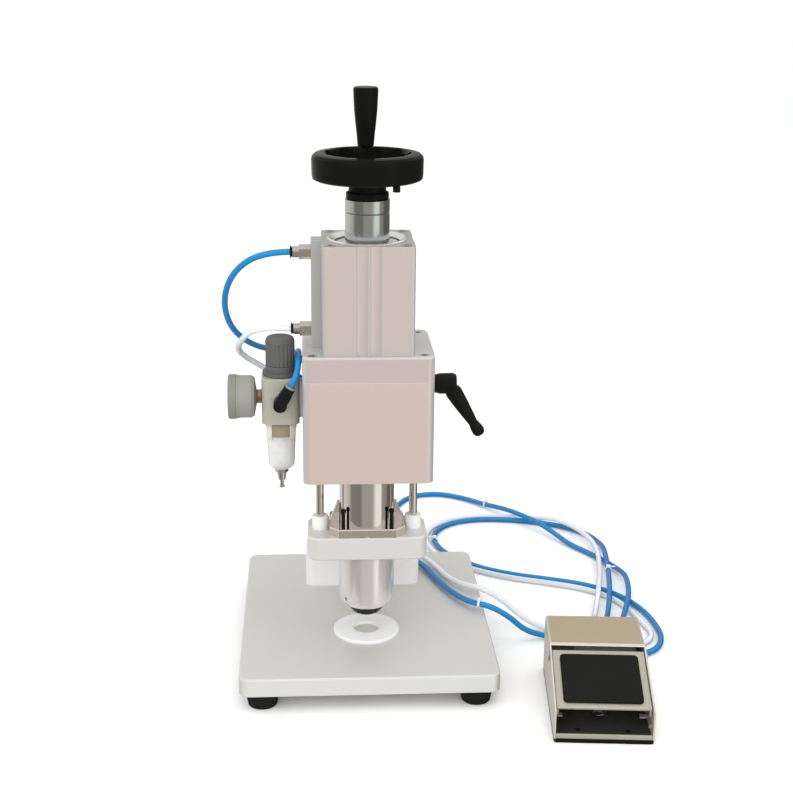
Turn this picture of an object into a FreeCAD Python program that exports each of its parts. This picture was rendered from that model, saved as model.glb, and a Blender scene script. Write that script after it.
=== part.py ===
# Bottle capping machine: a pneumatic bench press for crimped bottle caps, with its foot pedal and air hoses.
# Millimetres. X to the operator's right, Y away from the operator, Z up.
# The origin is on the table, straight under the axis of the crimping head.
import FreeCAD, Part
import math
import os
import Sketcher

doc = FreeCAD.newDocument("CappingMachine")
sheet = doc.addObject("Spreadsheet::Sheet", "Sizes")

# Driving dimensions
sizes = {
    # base plate, feet and seat
    "base_width": 250, "base_depth": 300, "base_thick": 18, "base_corner": 10, "base_edge": 1.2,
    "base_front": 103, "foot_tall": 16, "foot_top_radius": 16.5, "foot_low_radius": 14,
    "foot_inset_side": 22, "foot_inset_end": 18, "seat_radius": 33, "seat_bore": 12.5, "seat_thick": 3,
    # post at the back
    "post_radius": 17.5, "post_long": 390, "post_back": 131, "post_foot_wide": 122, "post_foot_deep": 46,
    "post_foot_tall": 40, "post_foot_corner": 8, "post_foot_edge": 1.5,
    # head that slides on the post
    "head_wide": 124, "head_low": 209, "head_tall": 100, "head_front": 47, "head_back": 58, "head_corner": 8,
    "cap_thick": 24.5, "cap_edge": 1.5, "clamp_tall": 90, "clamp_over": 35, "clamp_gap": 0.1,
    "clamp_chamfer": 25, "clamp_relief": 10, "lever_up": 46, "lever_long": 65, "stud_out": 24,
    # ram and crimping head
    "tube_radius": 27, "tube_wall": 7, "tube_tall": 115.5, "tube_gap": 0.35, "tube_top_thick": 9,
    "rod_spread": 46, "rod_radius": 4, "rod_long": 152, "rod_gap": 0.05,
    "bushing_radius": 8, "bushing_long": 30,
    "plate_wide": 117, "plate_deep": 60, "plate_thick": 23.5, "plate_low": 123, "plate_corner": 12,
    "plate_edge": 1.5, "collar_radius": 8.2, "collar_tall": 13.5,
    "flange_wide": 74, "flange_deep": 59, "flange_thick": 8.5, "flange_cut": 9, "flange_notch": 3,
    "rib_tall": 19, "rib_thick": 8,
    "sleeve_radius": 27.5, "sleeve_tall": 56, "sleeve_nose": 5.5, "sleeve_nose_radius": 22.5,
    "sleeve_mouth": 20.7, "sleeve_mouth_deep": 9, "sleeve_hole": 1.75,
    "collet_reach": 10, "collet_bowl": 20.2, "collet_tip": 13.5, "collet_stem": 14, "collet_tall": 38,
    "collet_bore": 9.5, "collet_slot": 1.6, "collet_gap": 0.15, "ejector_radius": 6, "ejector_tall": 46,
    "pin_spread": 23.5, "pin_front": 19.5, "pin_radius": 1.8, "pin_rise": 14, "knob_radius": 2.6,
    "knob_tall": 4,
    # cylinder
    "cylinder_wide": 86, "cylinder_tall": 103, "cylinder_corner": 3, "cylinder_bore": 31.5,
    "cylinder_floor": 11.5, "groove_radius": 9, "groove_spread": 6.25, "groove_sink": 6.9,
    "port_proud": 10, "port_wide": 21, "port_low": 16.5, "port_high": 90.5, "port_radius": 4.8,
    "cover_radius": 35, "cover_thick": 6, "cover_sink": 2, "piston_thick": 20, "piston_gap": 0.15,
    "spindle_radius": 8, "spindle_gap": 0.1, "spindle_top": 489,
    # stop sleeve, handwheel and its grip
    "stop_radius": 20.9, "stop_low": 27.2, "stop_high": 12, "stop_groove": 1.6,
    "wheel_radius": 52, "wheel_hub": 19.5, "wheel_hub_tall": 17.5, "wheel_rim_tall": 25, "wheel_rim_wide": 15,
    "wheel_web": 7, "wheel_scallop": 8, "wheel_scallop_at": 33, "wheel_lug": 3.4,
    "grip_at": 44, "grip_low": 7.8, "grip_high": 11.9, "grip_tall": 55, "grip_pin": 4, "grip_gap": 0.15,
    # filter regulator
    "reg_side": 83, "reg_low": 260, "reg_tall": 45, "reg_wide": 36, "reg_deep": 40, "reg_corner": 9,
    "reg_port": 6, "reg_port_deep": 10, "reg_port_up": 24, "reg_boss": 9.5, "reg_boss_out": 3,
    "ring_low_radius": 17, "ring_low_tall": 4, "ring_top_radius": 14, "ring_top_tall": 6,
    "knob_reg_radius": 14, "knob_reg_tall": 27, "knob_reg_gap": 0.5, "knob_rib": 1.3,
    "screw_reg_radius": 3.5,
    "bowl_radius": 15, "bowl_low_radius": 12.5, "bowl_tall": 49, "bowl_wall": 2,
    "drain_radius": 6.5, "drain_tall": 13, "drain_pin": 1.8, "drain_pin_tall": 8,
    "gauge_radius": 21, "gauge_deep": 24, "gauge_stem": 5, "gauge_wall": 1.6, "gauge_up": 23,
    # push-in fittings
    "fit_hex": 7.2, "fit_hex_long": 11, "fit_collar": 5.4, "fit_collar_long": 6,
    # foot pedal
    "pedal_wide": 92, "pedal_long": 145, "pedal_tall": 58.5, "pedal_front_tall": 32, "pedal_mat": 4,
    "pedal_sheet": 1.5, "pedal_roof": 59, "pedal_gap": 0.8, "treadle_long": 75, "treadle_behind": 2,
    "treadle_thick": 2, "treadle_side": 9, "pad_wide": 74, "pad_long": 62, "pad_thick": 3, "pad_in": 36,
    "pedal_right": 211.5, "pedal_ahead": 174.2, "valve_clear": 2, "hinge_ahead": 13.5, "hinge_up": 47,
    "hinge_radius": 3, "arm_wide": 12, "arm_drop": 21, "valve_wide": 60, "valve_deep": 48, "valve_tall": 40,
    "valve_side": 10, "spool_radius": 5, "spool_drop": 17, "spool_tip": 1.2, "spool_bite": 12,
    "pedal_port_step": 18,
    "spring_radius": 6, "spring_wire": 0.8,
    # screws
    "base_screw": 5.5, "base_screw_shank": 3, "base_screw_long": 20,
    "cap_screw": 4.5, "cap_screw_shank": 2.5, "cap_screw_bite": 12,
    # hoses
    "hose_radius": 3,
}
for row, (alias, amount) in enumerate(sizes.items(), 1):
    sheet.set(f"A{row}", alias)
    sheet.set(f"B{row}", str(amount))
    sheet.setAlias(f"B{row}", alias)
doc.recompute()


class Dim:
    """A size with its number and the sheet expression that gives it."""

    def __init__(self, text, number):
        self.text = text
        self.number = number

    def __add__(self, other):
        return Dim(f"({self.text} + {text_of(other)})", self.number + number_of(other))

    def __radd__(self, other):
        return Dim(f"({text_of(other)} + {self.text})", number_of(other) + self.number)

    def __sub__(self, other):
        return Dim(f"({self.text} - {text_of(other)})", self.number - number_of(other))

    def __rsub__(self, other):
        return Dim(f"({text_of(other)} - {self.text})", number_of(other) - self.number)

    def __mul__(self, other):
        return Dim(f"({self.text} * {text_of(other)})", self.number * number_of(other))

    __rmul__ = __mul__

    def __truediv__(self, other):
        return Dim(f"({self.text} / {text_of(other)})", self.number / number_of(other))

    def __neg__(self):
        return Dim(f"(0 - {self.text})", -self.number)


def text_of(amount):
    return amount.text if isinstance(amount, Dim) else repr(amount)


def number_of(amount):
    return amount.number if isinstance(amount, Dim) else amount


class Book:
    """Every sheet cell by its alias."""


dim = Book()
for alias in sizes:
    setattr(dim, alias, Dim("Sizes." + alias, float(sheet.get(alias))))

along_x = FreeCAD.Rotation(FreeCAD.Vector(0, 1, 0), 90)
along_minus_x = FreeCAD.Rotation(FreeCAD.Vector(0, 1, 0), -90)
along_y = FreeCAD.Rotation(FreeCAD.Vector(1, 0, 0), -90)
along_minus_y = FreeCAD.Rotation(FreeCAD.Vector(1, 0, 0), 90)
upright = FreeCAD.Rotation()
flipped = FreeCAD.Rotation(FreeCAD.Vector(1, 0, 0), 180)

nodes = []


# Binding, placing and naming
def bind(thing, name, amount):
    if isinstance(amount, Dim):
        thing.setExpression(name, amount.text)
    else:
        setattr(thing, name, amount)


def place(thing, x=0, y=0, z=0, turn=upright):
    spot = FreeCAD.Vector(number_of(x), number_of(y), number_of(z))
    thing.Placement = FreeCAD.Placement(spot, turn)
    for axis, amount in zip("xyz", (x, y, z)):
        if isinstance(amount, Dim):
            thing.setExpression("Placement.Base." + axis, amount.text)
    return thing


def node(name, thing):
    thing.Label = name
    nodes.append(thing)
    return thing


# Part primitives and booleans
def block(x, y, z, wide, deep, tall):
    thing = doc.addObject("Part::Box", "Block")
    bind(thing, "Length", wide)
    bind(thing, "Width", deep)
    bind(thing, "Height", tall)
    return place(thing, x, y, z)


def centred_block(x, y, z, wide, deep, tall):
    return block(x - wide / 2, y - deep / 2, z, wide, deep, tall)


def rod(radius, tall, x=0, y=0, z=0, turn=upright):
    thing = doc.addObject("Part::Cylinder", "Rod")
    bind(thing, "Radius", radius)
    bind(thing, "Height", tall)
    return place(thing, x, y, z, turn)


def cone(low, high, tall, x=0, y=0, z=0, turn=upright):
    thing = doc.addObject("Part::Cone", "Cone")
    bind(thing, "Radius1", low)
    bind(thing, "Radius2", high)
    bind(thing, "Height", tall)
    return place(thing, x, y, z, turn)


def hexagon(radius, tall, x=0, y=0, z=0, turn=upright):
    thing = doc.addObject("Part::Prism", "Hexagon")
    thing.Polygon = 6
    bind(thing, "Circumradius", radius)
    bind(thing, "Height", tall)
    return place(thing, x, y, z, turn)


def cut(base, *tools):
    for tool in tools:
        result = doc.addObject("Part::Cut", "Cut")
        result.Base = base
        result.Tool = tool
        base = result
    return base


def fuse(*things, refine=True):
    result = doc.addObject("Part::MultiFuse", "Fused")
    result.Shapes = list(things)
    result.Refine = refine
    return result


def group(*things):
    result = doc.addObject("Part::Compound", "Group")
    result.Links = list(things)
    return result


# Bodies made from sketches
def new_body(x=0, y=0, z=0, turn=upright):
    return place(doc.addObject("PartDesign::Body", "Body"), x, y, z, turn)


def sketch_on(body, role):
    plane = next(item for item in body.Origin.OriginFeatures if item.Role == role)
    sketch = body.newObject("Sketcher::SketchObject", "Sketch")
    sketch.AttachmentSupport = (plane, [""])
    sketch.MapMode = "FlatFace"
    return sketch


def hold(sketch, kind, first, point, amount):
    """Fix a point's distance from the sketch's origin."""
    value = number_of(amount)
    number = sketch.addConstraint(Sketcher.Constraint(kind, -1, 1, first, point, value))
    if isinstance(amount, Dim):
        sketch.setExpression(f"Constraints[{number}]", amount.text)


def outline(sketch, points):
    """A closed outline of straight lines through the points."""
    corners = [FreeCAD.Vector(number_of(a), number_of(b), 0) for a, b in points]
    first = sketch.GeometryCount
    count = len(corners)
    for i in range(count):
        sketch.addGeometry(Part.LineSegment(corners[i], corners[(i + 1) % count]), False)
    for i in range(count):
        sketch.addConstraint(
            Sketcher.Constraint("Coincident", first + i, 2, first + (i + 1) % count, 1))
    for i, (a, b) in enumerate(points):
        hold(sketch, "DistanceX", first + i, 1, a)
        hold(sketch, "DistanceY", first + i, 1, b)


def circles(sketch, spots):
    """Circles given as (x, y, radius)."""
    for x, y, radius in spots:
        centre = FreeCAD.Vector(number_of(x), number_of(y), 0)
        made = Part.Circle(centre, FreeCAD.Vector(0, 0, 1), number_of(radius))
        number = sketch.addGeometry(made, False)
        hold(sketch, "DistanceX", number, 3, x)
        hold(sketch, "DistanceY", number, 3, y)
        size = sketch.addConstraint(Sketcher.Constraint("Radius", number, number_of(radius)))
        if isinstance(radius, Dim):
            sketch.setExpression(f"Constraints[{size}]", radius.text)


def turned(points, x=0, y=0, z=0, turn=upright):
    """A body of revolution about its own Z; the points are (radius, height)."""
    body = new_body(x, y, z, turn)
    sketch = sketch_on(body, "XZ_Plane")
    outline(sketch, points)
    made = body.newObject("PartDesign::Revolution", "Revolution")
    made.Profile = sketch
    made.ReferenceAxis = (sketch, ["V_Axis"])
    made.Angle = 360
    doc.recompute()
    return body


def pad(body, role, tall, points=None, spots=None, middle=False, back=False):
    sketch = sketch_on(body, role)
    if points:
        outline(sketch, points)
    if spots:
        circles(sketch, spots)
    made = body.newObject("PartDesign::Pad", "Pad")
    made.Profile = sketch
    bind(made, "Length", tall)
    made.Midplane = middle
    made.Reversed = back
    doc.recompute()
    return made


def pocket(body, role, deep, points=None, spots=None, through=False, middle=False, back=False):
    before = body.Shape.Volume
    sketch = sketch_on(body, role)
    if points:
        outline(sketch, points)
    if spots:
        circles(sketch, spots)
    made = body.newObject("PartDesign::Pocket", "Pocket")
    made.Profile = sketch
    if through:
        made.Type = "ThroughAll"
    else:
        bind(made, "Length", deep)
    made.Midplane = middle
    made.Reversed = back
    doc.recompute()
    if body.Shape.Volume >= before:
        raise RuntimeError("a pocket cut nothing")
    return made


def polar(body, feature, count):
    pattern = body.newObject("PartDesign::PolarPattern", "Pattern")
    axis = next(item for item in body.Origin.OriginFeatures if item.Role == "Z_Axis")
    pattern.Originals = [feature]
    pattern.Axis = (axis, [""])
    pattern.Angle = 360
    pattern.Occurrences = count
    body.Tip = pattern
    doc.recompute()
    return pattern


def edge_names(shape, test):
    return [f"Edge{i}" for i, edge in enumerate(shape.Edges, 1) if test(edge)]


def soften(body, kind, test, amount):
    """Round (Fillet) or bevel (Chamfer) the edges that pass the test."""
    base = body.Tip
    made = body.newObject("PartDesign::" + kind, kind)
    made.Base = (base, edge_names(base.Shape, test))
    bind(made, "Radius" if kind == "Fillet" else "Size", amount)
    doc.recompute()
    return made


def is_vertical(edge):
    start, end = edge.Vertexes[0].Point, edge.Vertexes[-1].Point
    straight = isinstance(edge.Curve, Part.Line)
    return straight and abs(start.x - end.x) < 1e-6 and abs(start.y - end.y) < 1e-6


def is_level(height):
    def test(edge):
        box = edge.BoundBox
        return abs(box.ZMin - number_of(height)) < 1e-6 and box.ZLength < 1e-6
    return test


def rectangle(wide, deep, x=0, y=0):
    left, right, front, back = x - wide / 2, x + wide / 2, y - deep / 2, y + deep / 2
    return [(left, front), (right, front), (right, back), (left, back)]


def rounded_plate(wide, deep, tall, corner, edge, x=0, y=0, z=0):
    """A plate with round vertical corners and a bevelled top edge."""
    body = new_body(x, y, z)
    pad(body, "XY_Plane", tall, rectangle(wide, deep))
    soften(body, "Fillet", is_vertical, corner)
    soften(body, "Chamfer", is_level(tall), edge)
    return body


def socket_screw(head, shank, long, x, y, z, turn=upright):
    """A socket cap screw: its head stands on z, its shank goes down from there."""
    body = fuse(rod(head, head), rod(shank, long, 0, 0, -long))
    return place(cut(body, hexagon(shank * 0.95, head / 2, 0, 0, head / 2)), x, y, z, turn)


# Heights and places that several pieces share
base_top = dim.foot_tall + dim.base_thick
base_middle = dim.base_depth / 2 - dim.base_front
head_top = dim.head_low + dim.head_tall
head_middle = (dim.head_back - dim.head_front) / 2
cylinder_low = head_top + dim.cap_thick
cylinder_top = cylinder_low + dim.cylinder_tall
plate_top = dim.plate_low + dim.plate_thick
sleeve_low = dim.plate_low - dim.sleeve_tall
clamp_low = dim.head_low + 10
lever_height = dim.head_low + dim.lever_up

# Screws hidden in the base


def foot_spots():
    side = dim.base_width / 2 - dim.foot_inset_side
    front = dim.foot_inset_end - dim.base_front
    back = dim.base_depth - dim.base_front - dim.foot_inset_end
    return [(x, y) for x in (-side, side) for y in (front, back)]


def post_screw_spots():
    side = dim.post_foot_wide / 2 - 12
    deep = dim.post_foot_deep / 2 - 10
    return [(x, y) for x in (-side, side) for y in (dim.post_back - deep, dim.post_back + deep)]


def make_base():
    plate = rounded_plate(
        dim.base_width, dim.base_depth, dim.base_thick, dim.base_corner, dim.base_edge,
        0, base_middle, dim.foot_tall)
    taps = [(x, y - base_middle, dim.base_screw_shank) for x, y in foot_spots()]
    pocket(plate, "XY_Plane", dim.base_thick - 2, spots=taps, back=True)
    clear = [(x, y - base_middle, dim.base_screw_shank) for x, y in post_screw_spots()]
    pocket(plate, "XY_Plane", 0, spots=clear, through=True, middle=True)
    heads = [(x, y - base_middle, dim.base_screw + 0.3) for x, y in post_screw_spots()]
    pocket(plate, "XY_Plane", 7, spots=heads, back=True)
    node("base_plate", plate)


def make_feet():
    feet = []
    screws = []
    recess = dim.base_screw + 0.5
    web = dim.foot_tall - 5
    for x, y in foot_spots():
        feet.append(turned(
            [(dim.base_screw_shank, web), (recess, web), (recess, 0), (dim.foot_low_radius - 1, 0),
             (dim.foot_low_radius, 1), (dim.foot_top_radius, dim.foot_tall - 2),
             (dim.foot_top_radius, dim.foot_tall), (dim.base_screw_shank, dim.foot_tall)], x, y))
        screws.append(socket_screw(
            dim.base_screw, dim.base_screw_shank, dim.base_screw_long, x, y, web, flipped))
    for x, y in post_screw_spots():
        screws.append(socket_screw(
            dim.base_screw, dim.base_screw_shank, dim.base_screw_long, x, y, dim.foot_tall + 7, flipped))
    node("rubber_feet", group(*feet))
    node("base_screws", group(*screws))


def make_seat():
    seat = turned(
        [(dim.seat_bore, 0), (dim.seat_radius, 0), (dim.seat_radius, dim.seat_thick - 0.6),
         (dim.seat_radius - 0.6, dim.seat_thick), (dim.seat_bore + 0.6, dim.seat_thick),
         (dim.seat_bore, dim.seat_thick - 0.6)], 0, 0, base_top)
    node("seat_disc", seat)


def make_post():
    foot = rounded_plate(
        dim.post_foot_wide, dim.post_foot_deep, dim.post_foot_tall, dim.post_foot_corner,
        dim.post_foot_edge, 0, dim.post_back, base_top)
    pocket(foot, "XY_Plane", 0, spots=[(0, 0, dim.post_radius)], through=True, middle=True)
    taps = [(x, y - dim.post_back, dim.base_screw_shank) for x, y in post_screw_spots()]
    pocket(foot, "XY_Plane", 12, spots=taps, back=True)
    node("post_foot", foot)
    post = turned(
        [(0, 0), (dim.post_radius, 0), (dim.post_radius, dim.post_long - 2),
         (dim.post_radius - 2, dim.post_long), (0, dim.post_long)], 0, dim.post_back, base_top)
    node("post", post)


def make_head():
    deep = dim.head_front + dim.head_back
    body = new_body(0, head_middle, dim.head_low)
    pad(body, "XY_Plane", dim.head_tall, rectangle(dim.head_wide, deep))
    soften(body, "Fillet", is_vertical, dim.head_corner)
    bores = [(0, -head_middle, dim.tube_radius + dim.tube_gap)]
    bores += [(x, -head_middle, dim.bushing_radius) for x in (-dim.rod_spread, dim.rod_spread)]
    pocket(body, "XY_Plane", 0, spots=bores, through=True, middle=True)
    spots = cap_screw_spots()
    bite = dim.cap_screw_bite
    taps = [rod(dim.cap_screw_shank, bite, x, y, head_top - bite) for x, y in spots]
    node("head_block", cut(body, *taps))
    cap = rounded_plate(
        dim.head_wide, deep, dim.cap_thick, dim.head_corner, dim.cap_edge, 0, head_middle, head_top)
    hole = [(0, -head_middle, dim.spindle_radius + 0.3)]
    pocket(cap, "XY_Plane", 0, spots=hole, through=True, middle=True)
    wells = [(x, -head_middle, dim.rod_radius + 1) for x in (-dim.rod_spread, dim.rod_spread)]
    pocket(cap, "XY_Plane", dim.cap_thick - 6, spots=wells, back=True)
    shanks = [(x, y - head_middle, dim.cap_screw_shank) for x, y in spots + cylinder_screw_spots()]
    pocket(cap, "XY_Plane", 0, spots=shanks, through=True, middle=True)
    sinks = [rod(dim.cap_screw + 0.3, dim.cap_screw, x, y, cylinder_low - dim.cap_screw) for x, y in spots]
    node("head_cap", cut(cap, *sinks))
    seat = cylinder_low - dim.cap_screw
    long = dim.cap_thick - dim.cap_screw + bite
    screws = [socket_screw(dim.cap_screw, dim.cap_screw_shank, long, x, y, seat) for x, y in spots]
    node("cap_screws", group(*screws))
    bushings = [
        turned([(dim.rod_radius + dim.rod_gap, 0), (dim.bushing_radius, 0),
                (dim.bushing_radius, dim.bushing_long), (dim.rod_radius + dim.rod_gap, dim.bushing_long)],
               x, 0, dim.head_low)
        for x in (-dim.rod_spread, dim.rod_spread)]
    node("guide_bushings", group(*bushings))


def cap_screw_spots():
    side = dim.head_wide / 2 - 10
    return [(x, y) for x in (-side, side) for y in (9 - dim.head_front, dim.head_back - 12)]


def cylinder_screw_spots():
    corner = dim.cylinder_wide / 2 - 8
    return [(x, y) for x in (-corner, corner) for y in (-corner, corner)]


def make_clamp():
    """The slide that carries the head on the post, held by the lever's stud."""
    long = dim.post_back + dim.clamp_over - dim.head_back
    middle = dim.head_back + long / 2
    body = new_body(0, middle, clamp_low)
    half, side = long / 2, dim.head_wide / 2
    trim = dim.clamp_chamfer
    pad(body, "XY_Plane", dim.clamp_tall, [
        (-side, -half), (side, -half), (side, half - trim), (side - trim, half),
        (trim - side, half), (-side, half - trim)])
    bore = [(0, dim.post_back - middle, dim.post_radius + dim.clamp_gap)]
    pocket(body, "XY_Plane", 0, spots=bore, through=True, middle=True)
    hollow = 16
    relief = [(x, hollow - half, dim.clamp_relief) for x in (-side / 2, side / 2)]
    pocket(body, "XY_Plane", 0, spots=relief, through=True, middle=True)
    stud_hole = rod(5.2, dim.head_wide / 2, dim.post_radius - 2, dim.post_back, lever_height, along_x)
    node("post_clamp", cut(body, stud_hole))
    start = dim.post_radius + 0.3
    stud = fuse(
        rod(5, dim.head_wide / 2 + dim.stud_out - start, start, dim.post_back, lever_height, along_x),
        rod(3.5, 4, dim.head_wide / 2 + dim.stud_out, dim.post_back, lever_height, along_x))
    node("clamp_stud", stud)


def make_lever():
    """Ratchet clamping lever: a turned hub on the stud and an arm that leans out to a ball end."""
    hub_start = dim.head_wide / 2 + 0.4
    hub = turned(
        [(5.2, 0), (8.5, 0), (9, 12), (11, 20), (11.2, 34), (9.5, 37.5), (5.6, 37.5), (5.6, 30), (5.2, 30)],
        hub_start, dim.post_back, lever_height, along_x)
    lean = FreeCAD.Rotation(FreeCAD.Vector(0, 0, 1), FreeCAD.Vector(0.52, -0.34, -0.78))
    foot = [hub_start + 29, dim.post_back, lever_height]
    long = dim.lever_long
    arm = place(turned(
        [(0, 5), (8, 5), (9, 12), (7.6, 28), (5, long - 16), (6.4, long - 9.5), (6.6, long - 5),
         (5, long - 1.5), (2.5, long - 0.2), (0, long)]),
        foot[0], foot[1], foot[2], lean)
    bore = rod(5.6, 12, hub_start + 28, dim.post_back, lever_height, along_x)
    node("clamp_lever", fuse(hub, cut(arm, bore)))


def make_ram():
    plate = rounded_plate(
        dim.plate_wide, dim.plate_deep, dim.plate_thick, dim.plate_corner, dim.plate_edge,
        0, 0, dim.plate_low)
    soften(plate, "Chamfer", is_level(0), dim.plate_edge)
    rods = [(x, 0, dim.rod_radius) for x in (-dim.rod_spread, dim.rod_spread)]
    pocket(plate, "XY_Plane", 0, spots=rods, through=True, middle=True)
    node("moving_plate", plate)
    shaft = dim.rod_radius
    node("guide_rods", group(*[
        turned([(0, 0), (shaft - 0.5, 0), (shaft, 0.5), (shaft, dim.rod_long - 1),
                (shaft - 1, dim.rod_long), (0, dim.rod_long)], x, 0, dim.plate_low)
        for x in (-dim.rod_spread, dim.rod_spread)]))
    collar = dim.collar_radius
    node("guide_collars", group(*[
        turned([(shaft, 0), (collar, 0), (collar, dim.collar_tall - 0.8),
                (collar - 0.8, dim.collar_tall), (shaft, dim.collar_tall)], x, 0, plate_top)
        for x in (-dim.rod_spread, dim.rod_spread)]))
    inner = dim.tube_radius - dim.tube_wall
    roof = dim.tube_tall - dim.tube_top_thick
    tube = turned(
        [(inner, 0), (dim.tube_radius, 0), (dim.tube_radius, dim.tube_tall - 1),
         (dim.tube_radius - 1, dim.tube_tall), (dim.spindle_radius, dim.tube_tall),
         (dim.spindle_radius, roof), (inner, roof)], 0, 0, plate_top)
    node("ram_tube", tube)
    make_flange()


def make_flange():
    """Eight-sided clamp ring round the tube with a rib at each side and the two release pins' bores."""
    body = new_body(0, 0, plate_top)
    side, half, trim = dim.flange_wide / 2, dim.flange_deep / 2, dim.flange_cut
    pad(body, "XY_Plane", dim.flange_thick, [
        (trim - side, -half), (side - trim, -half), (side, trim - half), (side, half - trim),
        (side - trim, half), (trim - side, half), (-side, half - trim), (-side, trim - half)])
    hole = dim.tube_radius + 0.1
    pocket(body, "XY_Plane", 0, spots=[(0, 0, hole)], through=True, middle=True)
    pins = [(x, -dim.pin_front, dim.pin_radius + 0.1) for x in (-dim.pin_spread, dim.pin_spread)]
    pocket(body, "XY_Plane", 0, spots=pins, through=True, middle=True)
    soften(body, "Chamfer", is_outer_top, 1)
    top, foot = dim.flange_thick, side - 1.5
    ribs = []
    for turn in (upright, FreeCAD.Rotation(FreeCAD.Vector(0, 0, 1), 180)):
        rib = new_body(0, 0, plate_top, turn)
        pad(rib, "XZ_Plane", dim.rib_thick, [
            (hole, top - 1), (foot, top - 1), (foot, top + 2), (hole + 2, top + dim.rib_tall),
            (hole, top + dim.rib_tall)], middle=True)
        ribs.append(rib)
    notch = rod(dim.flange_notch, 6, 0, -half - 1, plate_top, along_y)
    bore = rod(hole, dim.rib_tall + 2, 0, 0, plate_top + top - 1)
    node("crimp_flange", cut(fuse(body, *ribs), notch, bore))
    stem = dim.pin_radius
    for name, x in (("release_pin_left", -dim.pin_spread), ("release_pin_right", dim.pin_spread)):
        knob = dim.flange_thick + dim.pin_rise
        top = knob + dim.knob_tall
        pin = turned(
            [(0, 0.4), (stem, 0.4), (stem, knob), (dim.knob_radius - 0.5, knob),
             (dim.knob_radius, knob + 0.5), (dim.knob_radius, top - 1), (dim.knob_radius - 1, top), (0, top)],
            x, -dim.pin_front, plate_top)
        node(name, pin)


def is_outer_top(edge):
    straight = isinstance(edge.Curve, Part.Line)
    return straight and is_level(dim.flange_thick)(edge)


def make_crimp_head():
    """Chrome closing sleeve, the slotted collet inside it and the ejector pin inside the collet."""
    stem = dim.collet_stem + dim.collet_gap
    body = turned(
        [(stem, dim.sleeve_mouth_deep), (dim.sleeve_mouth, dim.sleeve_mouth_deep),
         (dim.sleeve_mouth, 0), (dim.sleeve_nose_radius, 0), (dim.sleeve_radius, dim.sleeve_nose),
         (dim.sleeve_radius, dim.sleeve_tall), (stem, dim.sleeve_tall)], 0, 0, sleeve_low)
    drill = place(
        rod(dim.sleeve_hole, 5), -dim.sleeve_radius * 0.766, -dim.sleeve_radius * 0.643, sleeve_low + 9.5,
        FreeCAD.Rotation(FreeCAD.Vector(0, 0, 1), FreeCAD.Vector(0.766, 0.643, 0)))
    node("crimp_sleeve", cut(body, drill))
    bowl_top = dim.collet_reach + 3
    collet = turned(
        [(dim.collet_bore, 0), (dim.collet_tip, 0), (dim.collet_tip + 1.2, 1.2), (dim.collet_bowl - 1, 7.5),
         (dim.collet_bowl, 9.5), (dim.collet_bowl, bowl_top),
         (dim.collet_stem, bowl_top), (dim.collet_stem, dim.collet_tall),
         (dim.ejector_radius + 0.2, dim.collet_tall), (dim.ejector_radius + 0.2, 14), (dim.collet_bore, 10)],
        0, 0, sleeve_low - dim.collet_reach)
    width = dim.collet_slot
    slot_points = [(dim.ejector_radius, -width / 2), (dim.collet_bowl + 2, -width / 2),
                   (dim.collet_bowl + 2, width / 2), (dim.ejector_radius, width / 2)]
    slot_cut = pocket(collet, "XY_Plane", dim.collet_tall - 12, slot_points, back=True)
    polar(collet, slot_cut, 6)
    node("collet", collet)
    tip = dim.ejector_radius
    ejector = turned(
        [(0, 0), (tip - 1, 0), (tip, 1), (tip, dim.ejector_tall), (0, dim.ejector_tall)],
        0, 0, sleeve_low + 1)
    node("ejector_pin", ejector)


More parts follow.
